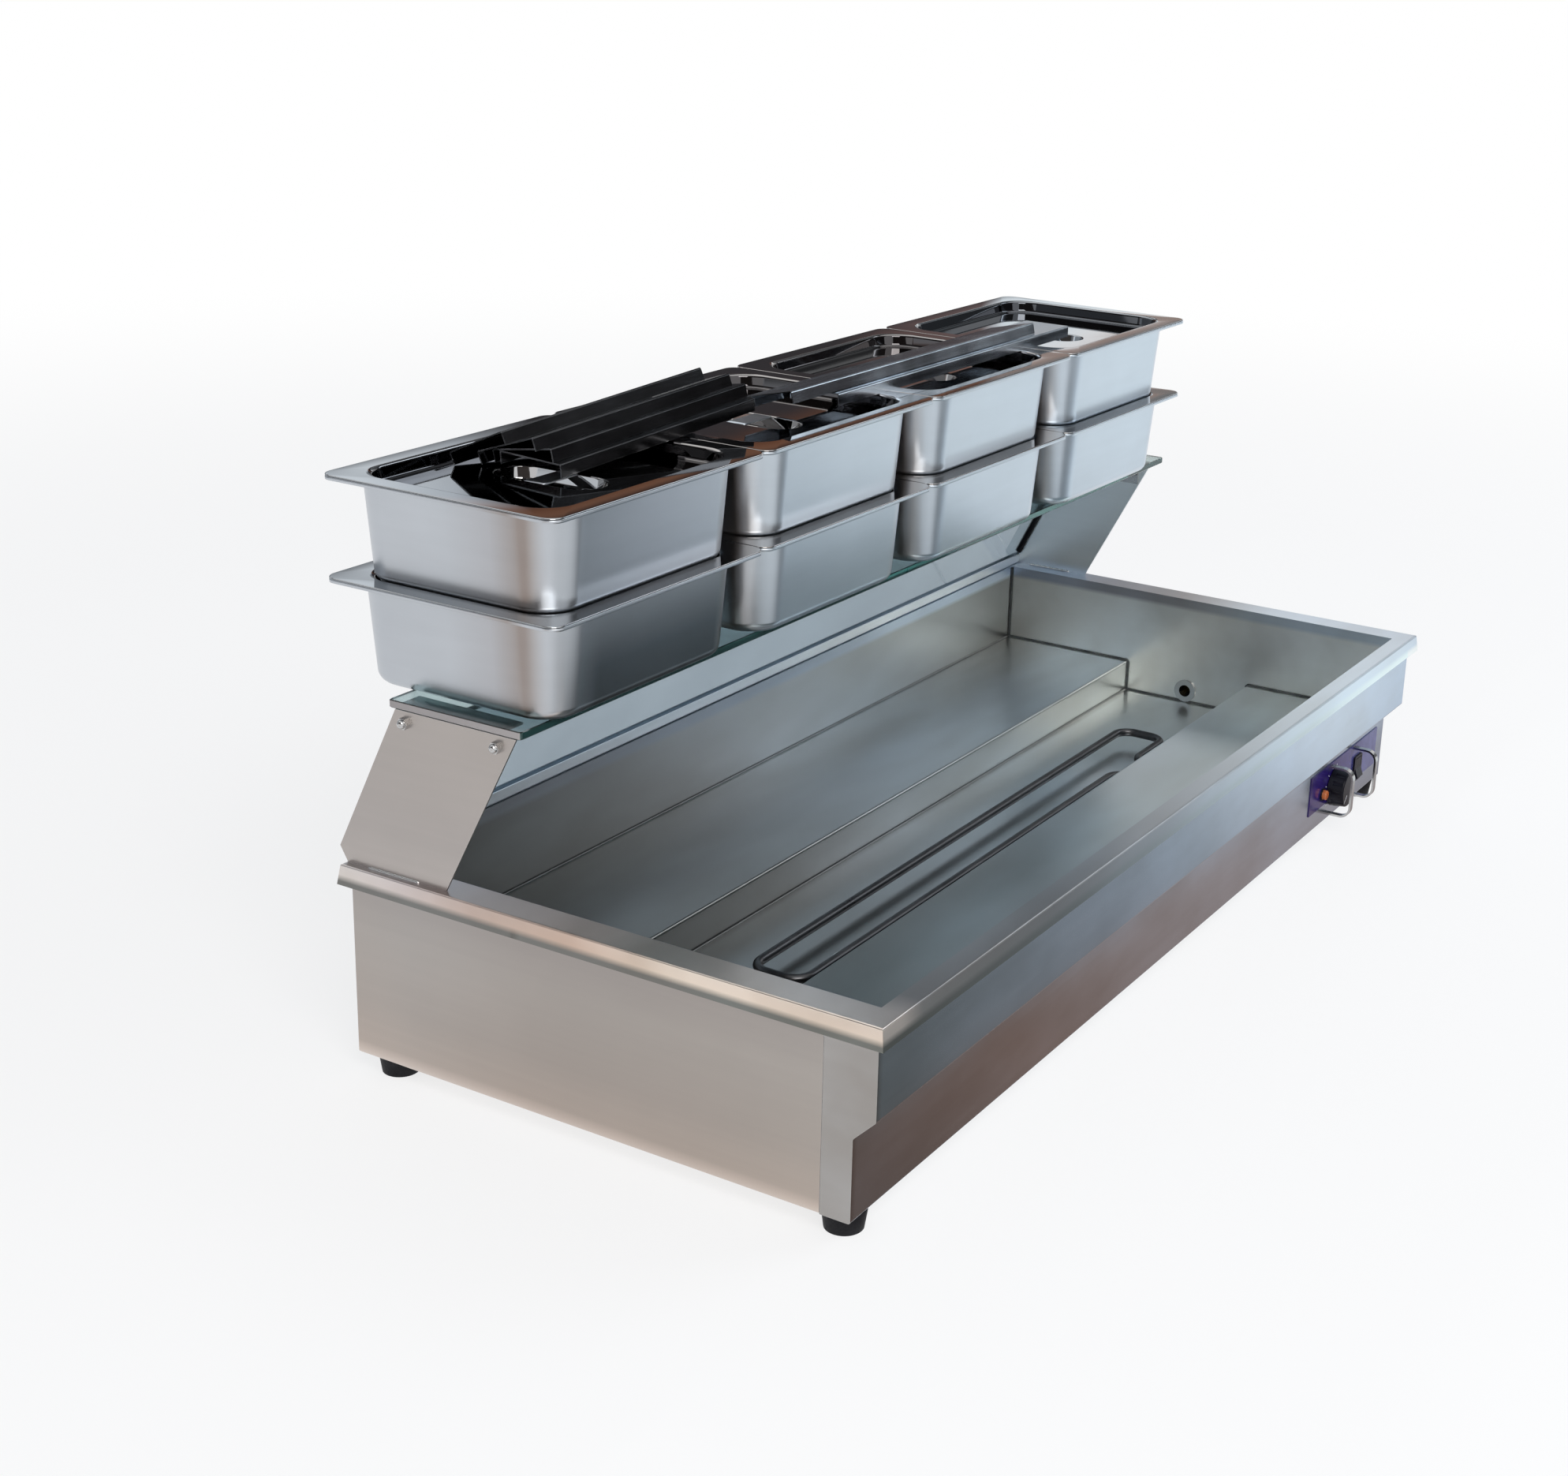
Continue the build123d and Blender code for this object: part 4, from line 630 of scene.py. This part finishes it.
# Lids: bright as mirrors, with a painted warm reflection on the middle lids, cooler towards the ends, and painted
# shade on the walls of the upper tier's recesses
lid_reflection_warm, lid_wall_shade_tone = (0.50, 0.48, 0.47), (0.20, 0.20, 0.21)
lid_reflection_tints = ("X", -end_x, end_x, [
    (-end_x, (0.50, 0.52, 0.54)), (-0.34, lid_reflection_warm), (0.32, lid_reflection_warm), (0.335, (0.50, 0.53, 0.56)),
])
lid_wall_shade = ("Z", 0.56, 0.59, [(0.5716, full), (0.5724, lid_wall_shade_tone), (0.5836, lid_wall_shade_tone), (0.5847, full)])
lid_steel = satin_sheet(
    "lid_steel", [lid_reflection_tints, lid_wall_shade], grain=(40.0, 40.0, 40.0), rough=(0.02, 0.06),
    streak=0.03, cloud=0.10, cloud_scale=9.0,
)

# Bars, fittings, heating loop and drain
# The short bars' near-black and the long bars' pale blue are painted reflection tones on bare steel
bar_steel = satin_sheet(
    "bar_steel", [shaded_ground((0.11, 0.113, 0.12))], grain=(4.0, 300.0, 300.0), rough=(0.10, 0.24),
    streak=0.15, cloud=0.3, cloud_scale=14.0, wear_and_highlight=0.0005, worn_and_highlight_tint=(0.80, 0.83, 0.86),
)
long_bar_steel = satin_sheet(
    "long_bar_steel", [shaded_ground((0.64, 0.71, 0.79))], grain=(4.0, 300.0, 300.0), rough=(0.12, 0.26),
    streak=0.15, cloud=0.3, cloud_scale=14.0,
)
fitting_steel = satin_sheet(
    "fitting_steel", [shaded_ground(grey(0.60))], grain=(200.0, 200.0, 200.0), rough=(0.14, 0.24)
)
loop_steel = satin_sheet(
    "heating_loop_steel", [shaded_ground((0.11, 0.11, 0.115))], grain=(30.0, 200.0, 200.0), rough=(0.26, 0.42),
    streak=0.15, cloud=0.3, cloud_scale=18.0,
)
valve_brass = satin_sheet(
    "valve_brass", [shaded_ground((0.66, 0.53, 0.29))], grain=(200.0, 200.0, 200.0), rough=(0.20, 0.34),
    streak=0.1, cloud=0.2, cloud_scale=30.0, wear_and_highlight=0.0006, worn_and_highlight_tint=(0.78, 0.66, 0.42),
)

# Glass: dark teal cut edges, with the shelf's left end ground matt and pale
shelf_teal, rear_teal, faint_matt = (0.09, 0.26, 0.25), (0.13, 0.32, 0.35), grey(0.15)
matt_to, clear_from, end_range = -0.6566, -0.6560, -0.64
shelf_edges = ("X", -end_x, end_range, [(matt_to, (0.42, 0.39, 0.385)), (clear_from, shelf_teal)])
shelf_ground = ("X", -end_x, end_range, [(matt_to, grey(0.9)), (clear_from, faint_matt)])
rear_edges = ("X", -end_x, end_x, [(-end_x, rear_teal), (end_x, rear_teal)])
rear_ground = ("X", -end_x, end_x, [(-end_x, faint_matt), (end_x, faint_matt)])
shelf_glass = plain_glass("shelf_glass", (0.55, 0.67, 0.68), shelf_edges, shelf_ground, (0.35, 0.70, 0.64))
rear_glass = plain_glass("rear_glass", (0.47, 0.55, 0.615), rear_edges, rear_ground, (0.40, 0.68, 0.68))

# Rubber, plastic and print
black_rubber = moulded("black_rubber", (0.005, 0.005, 0.007), (0.014, 0.014, 0.017), (0.5, 0.7))
sealant = moulded("dark_sealant", (0.035, 0.04, 0.042), (0.09, 0.10, 0.10), (0.45, 0.65), grain=300.0)
black_plastic = moulded("black_plastic", (0.004, 0.004, 0.008), (0.012, 0.012, 0.020), (0.26, 0.40))
orange_lens = moulded(
    "orange_lens", (0.42, 0.10, 0.03), (0.60, 0.20, 0.07), (0.08, 0.16), grain=200.0, strength=0.03, gloss=0.5
)
# The plate's violet darkens to the left and pales to lavender on the right: a painted sheen over its own colour
plate_ink_and_sheen = ("X", 0.40, 0.632, [
    (0.40, (0.030, 0.014, 0.115)), (0.47, (0.022, 0.010, 0.150)), (0.53, (0.060, 0.055, 0.22)),
    (0.60, (0.11, 0.12, 0.28)),
])
plate_film = printed_film("control_plate_film", plate_ink_and_sheen)
white_print = moulded("white_print", (0.62, 0.62, 0.64), (0.74, 0.74, 0.76), (0.35, 0.50))

coats = {
    "left_end_panel": end_steel, "right_end_panel": end_steel, "rear_panel": back_steel,
    "base_plate": back_steel, "front_panel": front_steel, "tank": tank_steel,
    "left_bracket": bracket_steel, "right_bracket": bracket_steel, "shelf_angles": fitting_steel,
    "glass_channel": channel_steel, "control_plate": plate_film, "seam_sealant": sealant,
    "rubber_feet": black_rubber, "glass_seals": black_rubber, "heating_element": loop_steel,
    "lamp_lens": orange_lens, "glass_shelf": shelf_glass, "guard_glass": rear_glass,
    "short_bars": bar_steel, "long_bars": long_bar_steel,
    "drain_valve_body": valve_brass, "drain_valve_ball": valve_brass, "drain_spout": valve_brass,
}
plastic_nodes = (
    "thermostat_body", "thermostat_knob", "lamp_body", "switch_housing", "switch_rocker",
    "cable_gland", "gland_locknut", "terminal_block",
)
for name in plastic_nodes:
    coats[name] = black_plastic
for name, node in nodes.items():
    node.data.materials.clear()
    node.data.materials.append(coats.get(name, fitting_steel))

# Pans and lids stand for their plain solids
first_end, last_end = (0, 0), (0, 1)
for tier in ("lower", "upper"):
    for column in range(1, 5):
        pan_name = f"{tier}_pan_{column}"
        low, high = (np.array(corner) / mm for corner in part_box(pan_name))
        x, y, rim_z = 0.5 * (low[0] + high[0]), 0.5 * (low[1] + high[1]), high[2]
        pan = make_piece(
            f"{tier}_pan_{column}_drawn", [pan_grid(x, y, rim_z)], pan_name, pan_steel, [last_end]
        )
        thicken(pan, pan_sheet)
        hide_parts(pan_name)
        lid_name = f"{tier}_lid_{column}"
        lid = make_piece(
            f"{tier}_lid_{column}_pressed", [lid_grid(x, y, rim_z)], lid_name, lid_steel, [last_end]
        )
        thicken(lid, lid_skin)
        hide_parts(lid_name)
        make_piece(
            f"{tier}_lid_{column}_strap", [strap_grid(x, y, rim_z)], lid_name, pan_steel,
            [first_end, last_end],
        )

# The glass shelf stands a hair clear of the angles under it and the pans on it
low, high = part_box("glass_shelf")
shelf_low = np.array(low) / mm + np.array([0.0, 0.0, plate_clear])
shelf_high = np.array(high) / mm - np.array([0.0, 0.0, plate_clear])
shelf = make_piece(
    "glass_shelf_plate", [plate_grid(shelf_low, shelf_high, plate_arris)], "warmer", shelf_glass,
    [first_end, last_end],
)
shelf.data.polygons.foreach_set("use_smooth", np.zeros(len(shelf.data.polygons), dtype=bool))
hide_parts("glass_shelf")

# Weld beads where the brackets stand on the rim, one on each face
rear_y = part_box("tank")[1].y / mm - bead_rear_gap
for bracket, facing in (("left_bracket", -1.0), ("right_bracket", 1.0)):
    low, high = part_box(bracket)
    outer_x = (low.x if facing < 0 else high.x) / mm
    inner_x = outer_x - facing * bracket_sheet
    foot_z = low.z / mm + bead_rise
    for face, face_x, end_y in (("outer", outer_x, rear_y), ("inner", inner_x, rear_y - bead_stagger)):
        start = np.array([face_x, end_y - bead_length, foot_z])
        end = np.array([face_x, end_y, foot_z])
        make_piece(
            f"{bracket}_bead_{face}", [bead_grid(start, end, bead_radius)], "warmer",
            fitting_steel, [first_end, last_end],
        )

# Printed marks: ticks round the knob, and the knob's pointer line
knob_low, knob_high = (np.array(corner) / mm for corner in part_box("thermostat_knob"))
knob_middle = 0.5 * (knob_low + knob_high)
knob_radius = 0.5 * (knob_high[0] - knob_low[0])
plate_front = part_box("control_plate")[0].y / mm
tick_turns = np.radians(np.linspace(tick_first, tick_last, tick_count))
tick_from = knob_radius + tick_gap
ticks = [
    mark_grid(turn, knob_middle, tick_from, tick_from + tick_length, tick_half, plate_front) for turn in tick_turns
]
make_piece(
    "dial_ticks", ticks, "warmer", white_print,
    [(tick, end) for tick in range(tick_count) for end in (0, 1)],
)
pointer = mark_grid(
    tick_turns[0], knob_middle, pointer_from * knob_radius, pointer_to * knob_radius, pointer_half, knob_low[1]
)
make_piece("knob_pointer", [pointer], "knob", white_print, [first_end, last_end])

# Stage: a pale floor that runs out to white, cards for the bright metal to mirror, and soft lamps
floor_half = 60.0
floor_glow_near, floor_glow_far = 0.74, 1.0
floor_fade_from, floor_fade_to = 1.6, 4.5
floor_cloud_scale, floor_cloud_detail = 0.6, 2.0
floor_dark, floor_light, floor_rough = 0.88, 0.90, 0.8
card_z = 0.002


def stage_sheet(name, corners, coat):
    """A flat four-cornered sheet of the studio."""
    mesh = bpy.data.meshes.new(name)
    mesh.from_pydata(corners, [], [(0, 1, 2, 3)])
    mesh.materials.append(coat)
    sheet = bpy.data.objects.new(name, mesh)
    bpy.context.scene.collection.objects.link(sheet)
    sheet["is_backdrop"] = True
    return sheet


def level_corners(left, right, near, far, z):
    """Corners of a level sheet."""
    return [(left, near, z), (right, near, z), (right, far, z), (left, far, z)]


def facing_corners(y, left, right, low, high):
    """Corners of an upright sheet along the object's length."""
    return [(left, y, low), (right, y, low), (right, y, high), (left, y, high)]


def side_corners(x, near, far, low_near, low_far, high):
    """Corners of an upright sheet across the object's length, whose lower edge may slant."""
    return [(x, near, low_near), (x, far, low_far), (x, far, high), (x, near, high)]


def mirror_card(name, coat_name, corners, paint):
    """A glowing sheet that shows in bright metal and nowhere else, and throws no shadow.

    paint builds the glow's colour in the coat's tree.
    """
    coat, tree, shader = new_coat(coat_name)
    tree.nodes.remove(shader)
    glow = tree.nodes.new("ShaderNodeEmission")
    tree.links.new(paint(tree), glow.inputs["Color"])
    tree.links.new(glow.outputs["Emission"], tree.nodes["Material Output"].inputs["Surface"])
    card = stage_sheet(name, corners, coat)
    card.visible_camera = card.visible_diffuse = card.visible_shadow = False
    card.visible_transmission = card.visible_volume_scatter = False


def seen_directly(tree):
    """1 for camera, glossy and transmitted rays, which show the background, and 0 for light on the object."""
    path = tree.nodes.new("ShaderNodeLightPath")
    share = path.outputs["Is Camera Ray"]
    for kind in ("Is Glossy Ray", "Is Transmission Ray"):
        share = reckon(tree, "MAXIMUM", share, path.outputs[kind])
    return share


def pale_floor(name):
    """Pale matt floor, which takes shadows near the object and glows white further out."""
    coat, tree, shader = new_coat(name)
    cloud = object_noise(tree, full, floor_cloud_scale, floor_cloud_detail)
    tone = tones(tree, cloud, [(noise_low, grey(floor_dark)), (noise_high, grey(floor_light))])
    tree.links.new(tone, shader.inputs["Base Color"])
    shader.inputs["Roughness"].default_value = floor_rough
    spot = tree.nodes.new("ShaderNodeTexCoord")
    reach = tree.nodes.new("ShaderNodeVectorMath")
    reach.operation = "LENGTH"
    tree.links.new(spot.outputs["Object"], reach.inputs[0])
    fade = tree.nodes.new("ShaderNodeMapRange")
    fade.interpolation_type = "SMOOTHSTEP"
    fade.inputs["From Min"].default_value = floor_fade_from
    fade.inputs["From Max"].default_value = floor_fade_to
    fade.inputs["To Min"].default_value = floor_glow_near
    fade.inputs["To Max"].default_value = floor_glow_far
    tree.links.new(reach.outputs["Value"], fade.inputs["Value"])
    glow = tree.nodes.new("ShaderNodeEmission")
    mix = tree.nodes.new("ShaderNodeMixShader")
    tree.links.new(reckon(tree, "MULTIPLY", seen_directly(tree), fade.outputs["Result"]), mix.inputs["Fac"])
    tree.links.new(shader.outputs["BSDF"], mix.inputs[1])
    tree.links.new(glow.outputs["Emission"], mix.inputs[2])
    tree.links.new(mix.outputs["Shader"], tree.nodes["Material Output"].inputs["Surface"])
    return coat


stage_sheet(
    "floor", level_corners(-floor_half, floor_half, -floor_half, floor_half, 0), pale_floor("floor_pale")
)


def back_paint(tree):
    """Black for the lids, with a brown band, a brown patch and a pale patch on either side of it."""
    band = along(tree, "Z", 0.9, 1.5, [
        (0.9, (0.045, 0.045, 0.050)), (1.14, (0.040, 0.039, 0.045)), (1.19, (0.16, 0.07, 0.04)),
        (1.23, (0.22, 0.11, 0.07)), (1.27, (0.03, 0.022, 0.022)), (1.5, (0.020, 0.020, 0.024)),
    ])
    patches = along(tree, "X", 0.6, 4.4, [
        (0.75, (0.85, 0.91, 0.96)), (1.0, (0.55, 0.60, 0.65)), (1.22, none), (2.3, (0.01, 0.006, 0.004)),
        (2.6, (0.10, 0.055, 0.045)), (2.98, (0.13, 0.08, 0.07)), (3.10, (0.84, 0.90, 0.94)), (4.4, (0.95, 1.0, 1.0)),
    ])
    rows = along(tree, "Z", 0.9, 1.5, [(1.01, grey(0.35)), (1.06, full), (1.185, full), (1.21, grey(0.2))])
    return blend_colours(tree, band, blend_colours(tree, patches, rows), mode="ADD")


def side_paint(tree):
    """Dark low down for the lids' far walls; above, dark for the tank's left half and pale to the right."""
    low = along(tree, "X", side_left, side_right, [
        (side_left, (0.040, 0.039, 0.041)), (side_right, (0.07, 0.06, 0.058)),
    ])
    high = along(tree, "X", side_left, side_right, [
        (side_left, (0.10, 0.09, 0.085)), (1.7, grey(0.10)), (2.4, (0.28, 0.30, 0.32)), (3.0, (0.75, 0.82, 0.88)),
        (4.2, (0.92, 0.98, 1.0)), (side_right, (0.92, 0.98, 1.0)),
    ])
    rows = along(tree, "Z", side_low, 1.5, [(1.42, none), (1.50, full)])
    return blend_colours(tree, low, high, rows, "MIX")


def slate_paint(tree):
    """Slate for the front's left half, brown close by, pale at the left end and in the far left corner."""
    spot = tree.nodes.new("ShaderNodeTexCoord")
    slant = tree.nodes.new("ShaderNodeVectorMath")
    slant.operation = "DOT_PRODUCT"
    slant.inputs[1].default_value = (1.0, 1.0, 0.0)
    tree.links.new(spot.outputs["Object"], slant.inputs[0])
    slate = tones(tree, spread(tree, slant.outputs["Value"], 0.0, 1.0, -0.8, 0.45), [
        (0.0, (0.13, 0.145, 0.15)), (0.36, (0.25, 0.275, 0.30)), (0.56, (0.40, 0.45, 0.49)),
        (0.72, (0.64, 0.70, 0.75)), (0.88, (0.86, 0.93, 0.98)), (1.0, (0.92, 0.98, 1.0)),
    ])
    brown = along(tree, "X", -0.8, 1.2, [
        (-0.6, (0.14, 0.10, 0.085)), (-0.25, (0.25, 0.17, 0.14)), (0.25, (0.40, 0.33, 0.31)),
        (0.75, (0.46, 0.42, 0.42)), (1.1, (0.56, 0.55, 0.57)),
    ])
    near = along(tree, "Y", -0.45, slate_near, [(-0.40, none), (-0.35, full)])
    left = along(tree, "X", slate_left, -0.5, [(slate_left, full), (-0.62, none)])
    corner = layered(tree, [
        ("X", slate_left, 0.6, [(0.10, (0.90, 0.92, 0.93)), (0.42, none)]),
        ("Y", slate_far, slate_near, [(-0.82, full), (-0.70, none)]),
    ])
    colour = blend_colours(tree, slate, brown, near, "MIX")
    colour = blend_colours(tree, colour, left, mode="LIGHTEN")
    return blend_colours(tree, colour, corner, mode="LIGHTEN")


# Card behind the object, for the lids
back_y, back_left, back_right, back_low, back_high = 1.6, -2.5, 4.6, 0.30, 1.55
mirror_card(
    "back_card", "back_card_dark", facing_corners(back_y, back_left, back_right, back_low, back_high), back_paint
)

# Card before the right half, above the floor
side_y, side_left, side_right, side_low, side_high = -2.2, 0.2, 6.5, 0.30, 3.2
mirror_card(
    "side_card", "side_card_dark", facing_corners(side_y, side_left, side_right, side_low, side_high), side_paint
)

# Card further right, a hair before that one: dark for the last lid's far wall and the tank's far corner
far_y, far_left, far_right, far_low, far_high = -2.19, 4.35, 6.5, 0.30, 2.8
far_tints = ("X", far_left, far_right, [(far_left, (0.12, 0.13, 0.14)), (far_right, (0.07, 0.07, 0.075))])
mirror_card(
    "far_card", "far_card_dark", facing_corners(far_y, far_left, far_right, far_low, far_high),
    lambda tree: along(tree, *far_tints),
)

# High card to the right: dark for the small folds and fillets
high_x, high_near, high_far, high_low, high_top = 6.0, -5.0, 5.0, 3.0, 9.0
high_tints = ("Z", high_low, high_top, [(high_low, (0.16, 0.17, 0.18)), (high_top, (0.06, 0.06, 0.065))])
mirror_card(
    "high_card", "high_card_dark", side_corners(high_x, high_near, high_far, high_low, high_low, high_top),
    lambda tree: along(tree, *high_tints),
)

# High card to the left: dark for the lids' near-facing walls and grips
west_x, west_near, west_far, west_top = -6.0, -8.0, 7.0, 11.0
west_low_near, west_low_far = 1.5, 3.0
west_tints = ("Z", west_low_near, west_top, [
    (west_low_near, (0.07, 0.06, 0.055)), (west_top, (0.03, 0.03, 0.034)),
])
mirror_card(
    "west_card", "west_card_dark",
    side_corners(west_x, west_near, west_far, west_low_near, west_low_far, west_top),
    lambda tree: along(tree, *west_tints),
)

# Card on the floor to the left: a brown strip for the pans' corners
warm_left, warm_right, warm_near, warm_far = -3.2, -1.4, -0.5, 0.9
warm_tints = ("Y", warm_near, warm_far, [
    (warm_near, grey(0.95)), (-0.05, (0.86, 0.80, 0.75)), (0.25, (0.58, 0.46, 0.39)), (0.5, (0.80, 0.75, 0.72)),
    (warm_far, grey(0.95)),
])
mirror_card(
    "brown_card", "floor_card_brown", level_corners(warm_left, warm_right, warm_near, warm_far, card_z),
    lambda tree: along(tree, *warm_tints),
)

# Card on the floor before the object, for the front
slate_left, slate_right, slate_near, slate_far = -1.1, 4.2, -0.27, -1.9
mirror_card(
    "slate_card", "floor_card_slate", level_corners(slate_left, slate_right, slate_far, slate_near, card_z),
    slate_paint,
)

# Surroundings: white where they are seen, a soft sky where they light the object
world = bpy.data.worlds.new("studio")
bpy.context.scene.world = world
world.use_nodes = True
sky = world.node_tree
sky_shade = sky.nodes["Background"]
sky_white = sky.nodes.new("ShaderNodeBackground")
sky_white.inputs["Color"].default_value = (*full, 1.0)
sky_mix = sky.nodes.new("ShaderNodeMixShader")
sky_spot = sky.nodes.new("ShaderNodeTexCoord")
sky_split = sky.nodes.new("ShaderNodeSeparateXYZ")
sky.links.new(sky_spot.outputs["Generated"], sky_split.inputs["Vector"])
sky_tone = tones(sky, sky_split.outputs["Z"], [
    (0.0, (0.95, 0.95, 0.96)), (0.25, (0.80, 0.82, 0.85)), (0.7, (0.42, 0.45, 0.50)), (1.0, (0.34, 0.36, 0.40)),
])
sky.links.new(sky_tone, sky_shade.inputs["Color"])
sky.links.new(seen_directly(sky), sky_mix.inputs["Fac"])
sky.links.new(sky_shade.outputs["Background"], sky_mix.inputs[1])
sky.links.new(sky_white.outputs["Background"], sky_mix.inputs[2])
sky.links.new(sky_mix.outputs["Shader"], sky.nodes["World Output"].inputs["Surface"])


def turned_to(right, up, back):
    """Angles of a camera or lamp whose own axes are three unit directions."""
    return Matrix(np.stack([right, up, back], axis=-1).tolist()).to_euler()


def soft_lamp(name, place, aim, size, power, colour):
    """A square area lamp turned towards a point."""
    light = bpy.data.lights.new(name, "AREA")
    light.shape = "SQUARE"
    light.size = size
    light.energy = power
    light.color = colour
    lamp = bpy.data.objects.new(name, light)
    bpy.context.scene.collection.objects.link(lamp)
    lamp.location = place
    way = np.array(aim) - np.array(place)
    way /= np.linalg.norm(way)
    across = np.cross(way, (0.0, 0.0, 1.0))
    across /= np.linalg.norm(across)
    lamp.rotation_euler = turned_to(across, np.cross(across, way), -way)


soft_lamp(
    "key_lamp", place=(-2.6, -2.4, 3.2), aim=(0.0, 0.0, 0.3), size=2.2, power=90.0, colour=(1.0, 0.98, 0.95)
)
soft_lamp(
    "cool_lamp", place=(2.8, -2.6, 2.4), aim=(0.2, 0.0, 0.2), size=2.4, power=60.0, colour=(0.88, 0.94, 1.0)
)

# Camera at the photograph's angle, worked out from the object's corners in the picture
image_wide, image_high = 1988.0, 1871.0
eye = np.array([-2.15009, -1.15232, 1.09149])
yaw, pitch, roll = np.radians([60.26603, 18.54341, 2.20951])
focal = 2966.27
picture_middle = (1148.5, 862.1)
film_width = 36.0
ahead = np.array([np.sin(yaw) * np.cos(pitch), np.cos(yaw) * np.cos(pitch), -np.sin(pitch)])
level_right = np.array([np.cos(yaw), -np.sin(yaw), 0.0])
level_up = np.cross(level_right, ahead)
tilted_right = np.cos(roll) * level_right + np.sin(roll) * level_up
tilted_up = np.cos(roll) * level_up - np.sin(roll) * level_right
lens = bpy.data.cameras.new("camera")
lens.sensor_fit = "HORIZONTAL"
lens.sensor_width = film_width
lens.lens = focal / image_wide * film_width
lens.shift_x = (0.5 * image_wide - picture_middle[0]) / image_wide
lens.shift_y = (picture_middle[1] - 0.5 * image_high) / image_wide
camera = bpy.data.objects.new("camera", lens)
bpy.context.scene.collection.objects.link(camera)
camera.location = eye
camera.rotation_euler = turned_to(tilted_right, tilted_up, -ahead)
bpy.context.scene.camera = camera
bpy.context.scene.view_settings.view_transform = "Standard"

bpy.context.view_layer.update()
low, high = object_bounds()
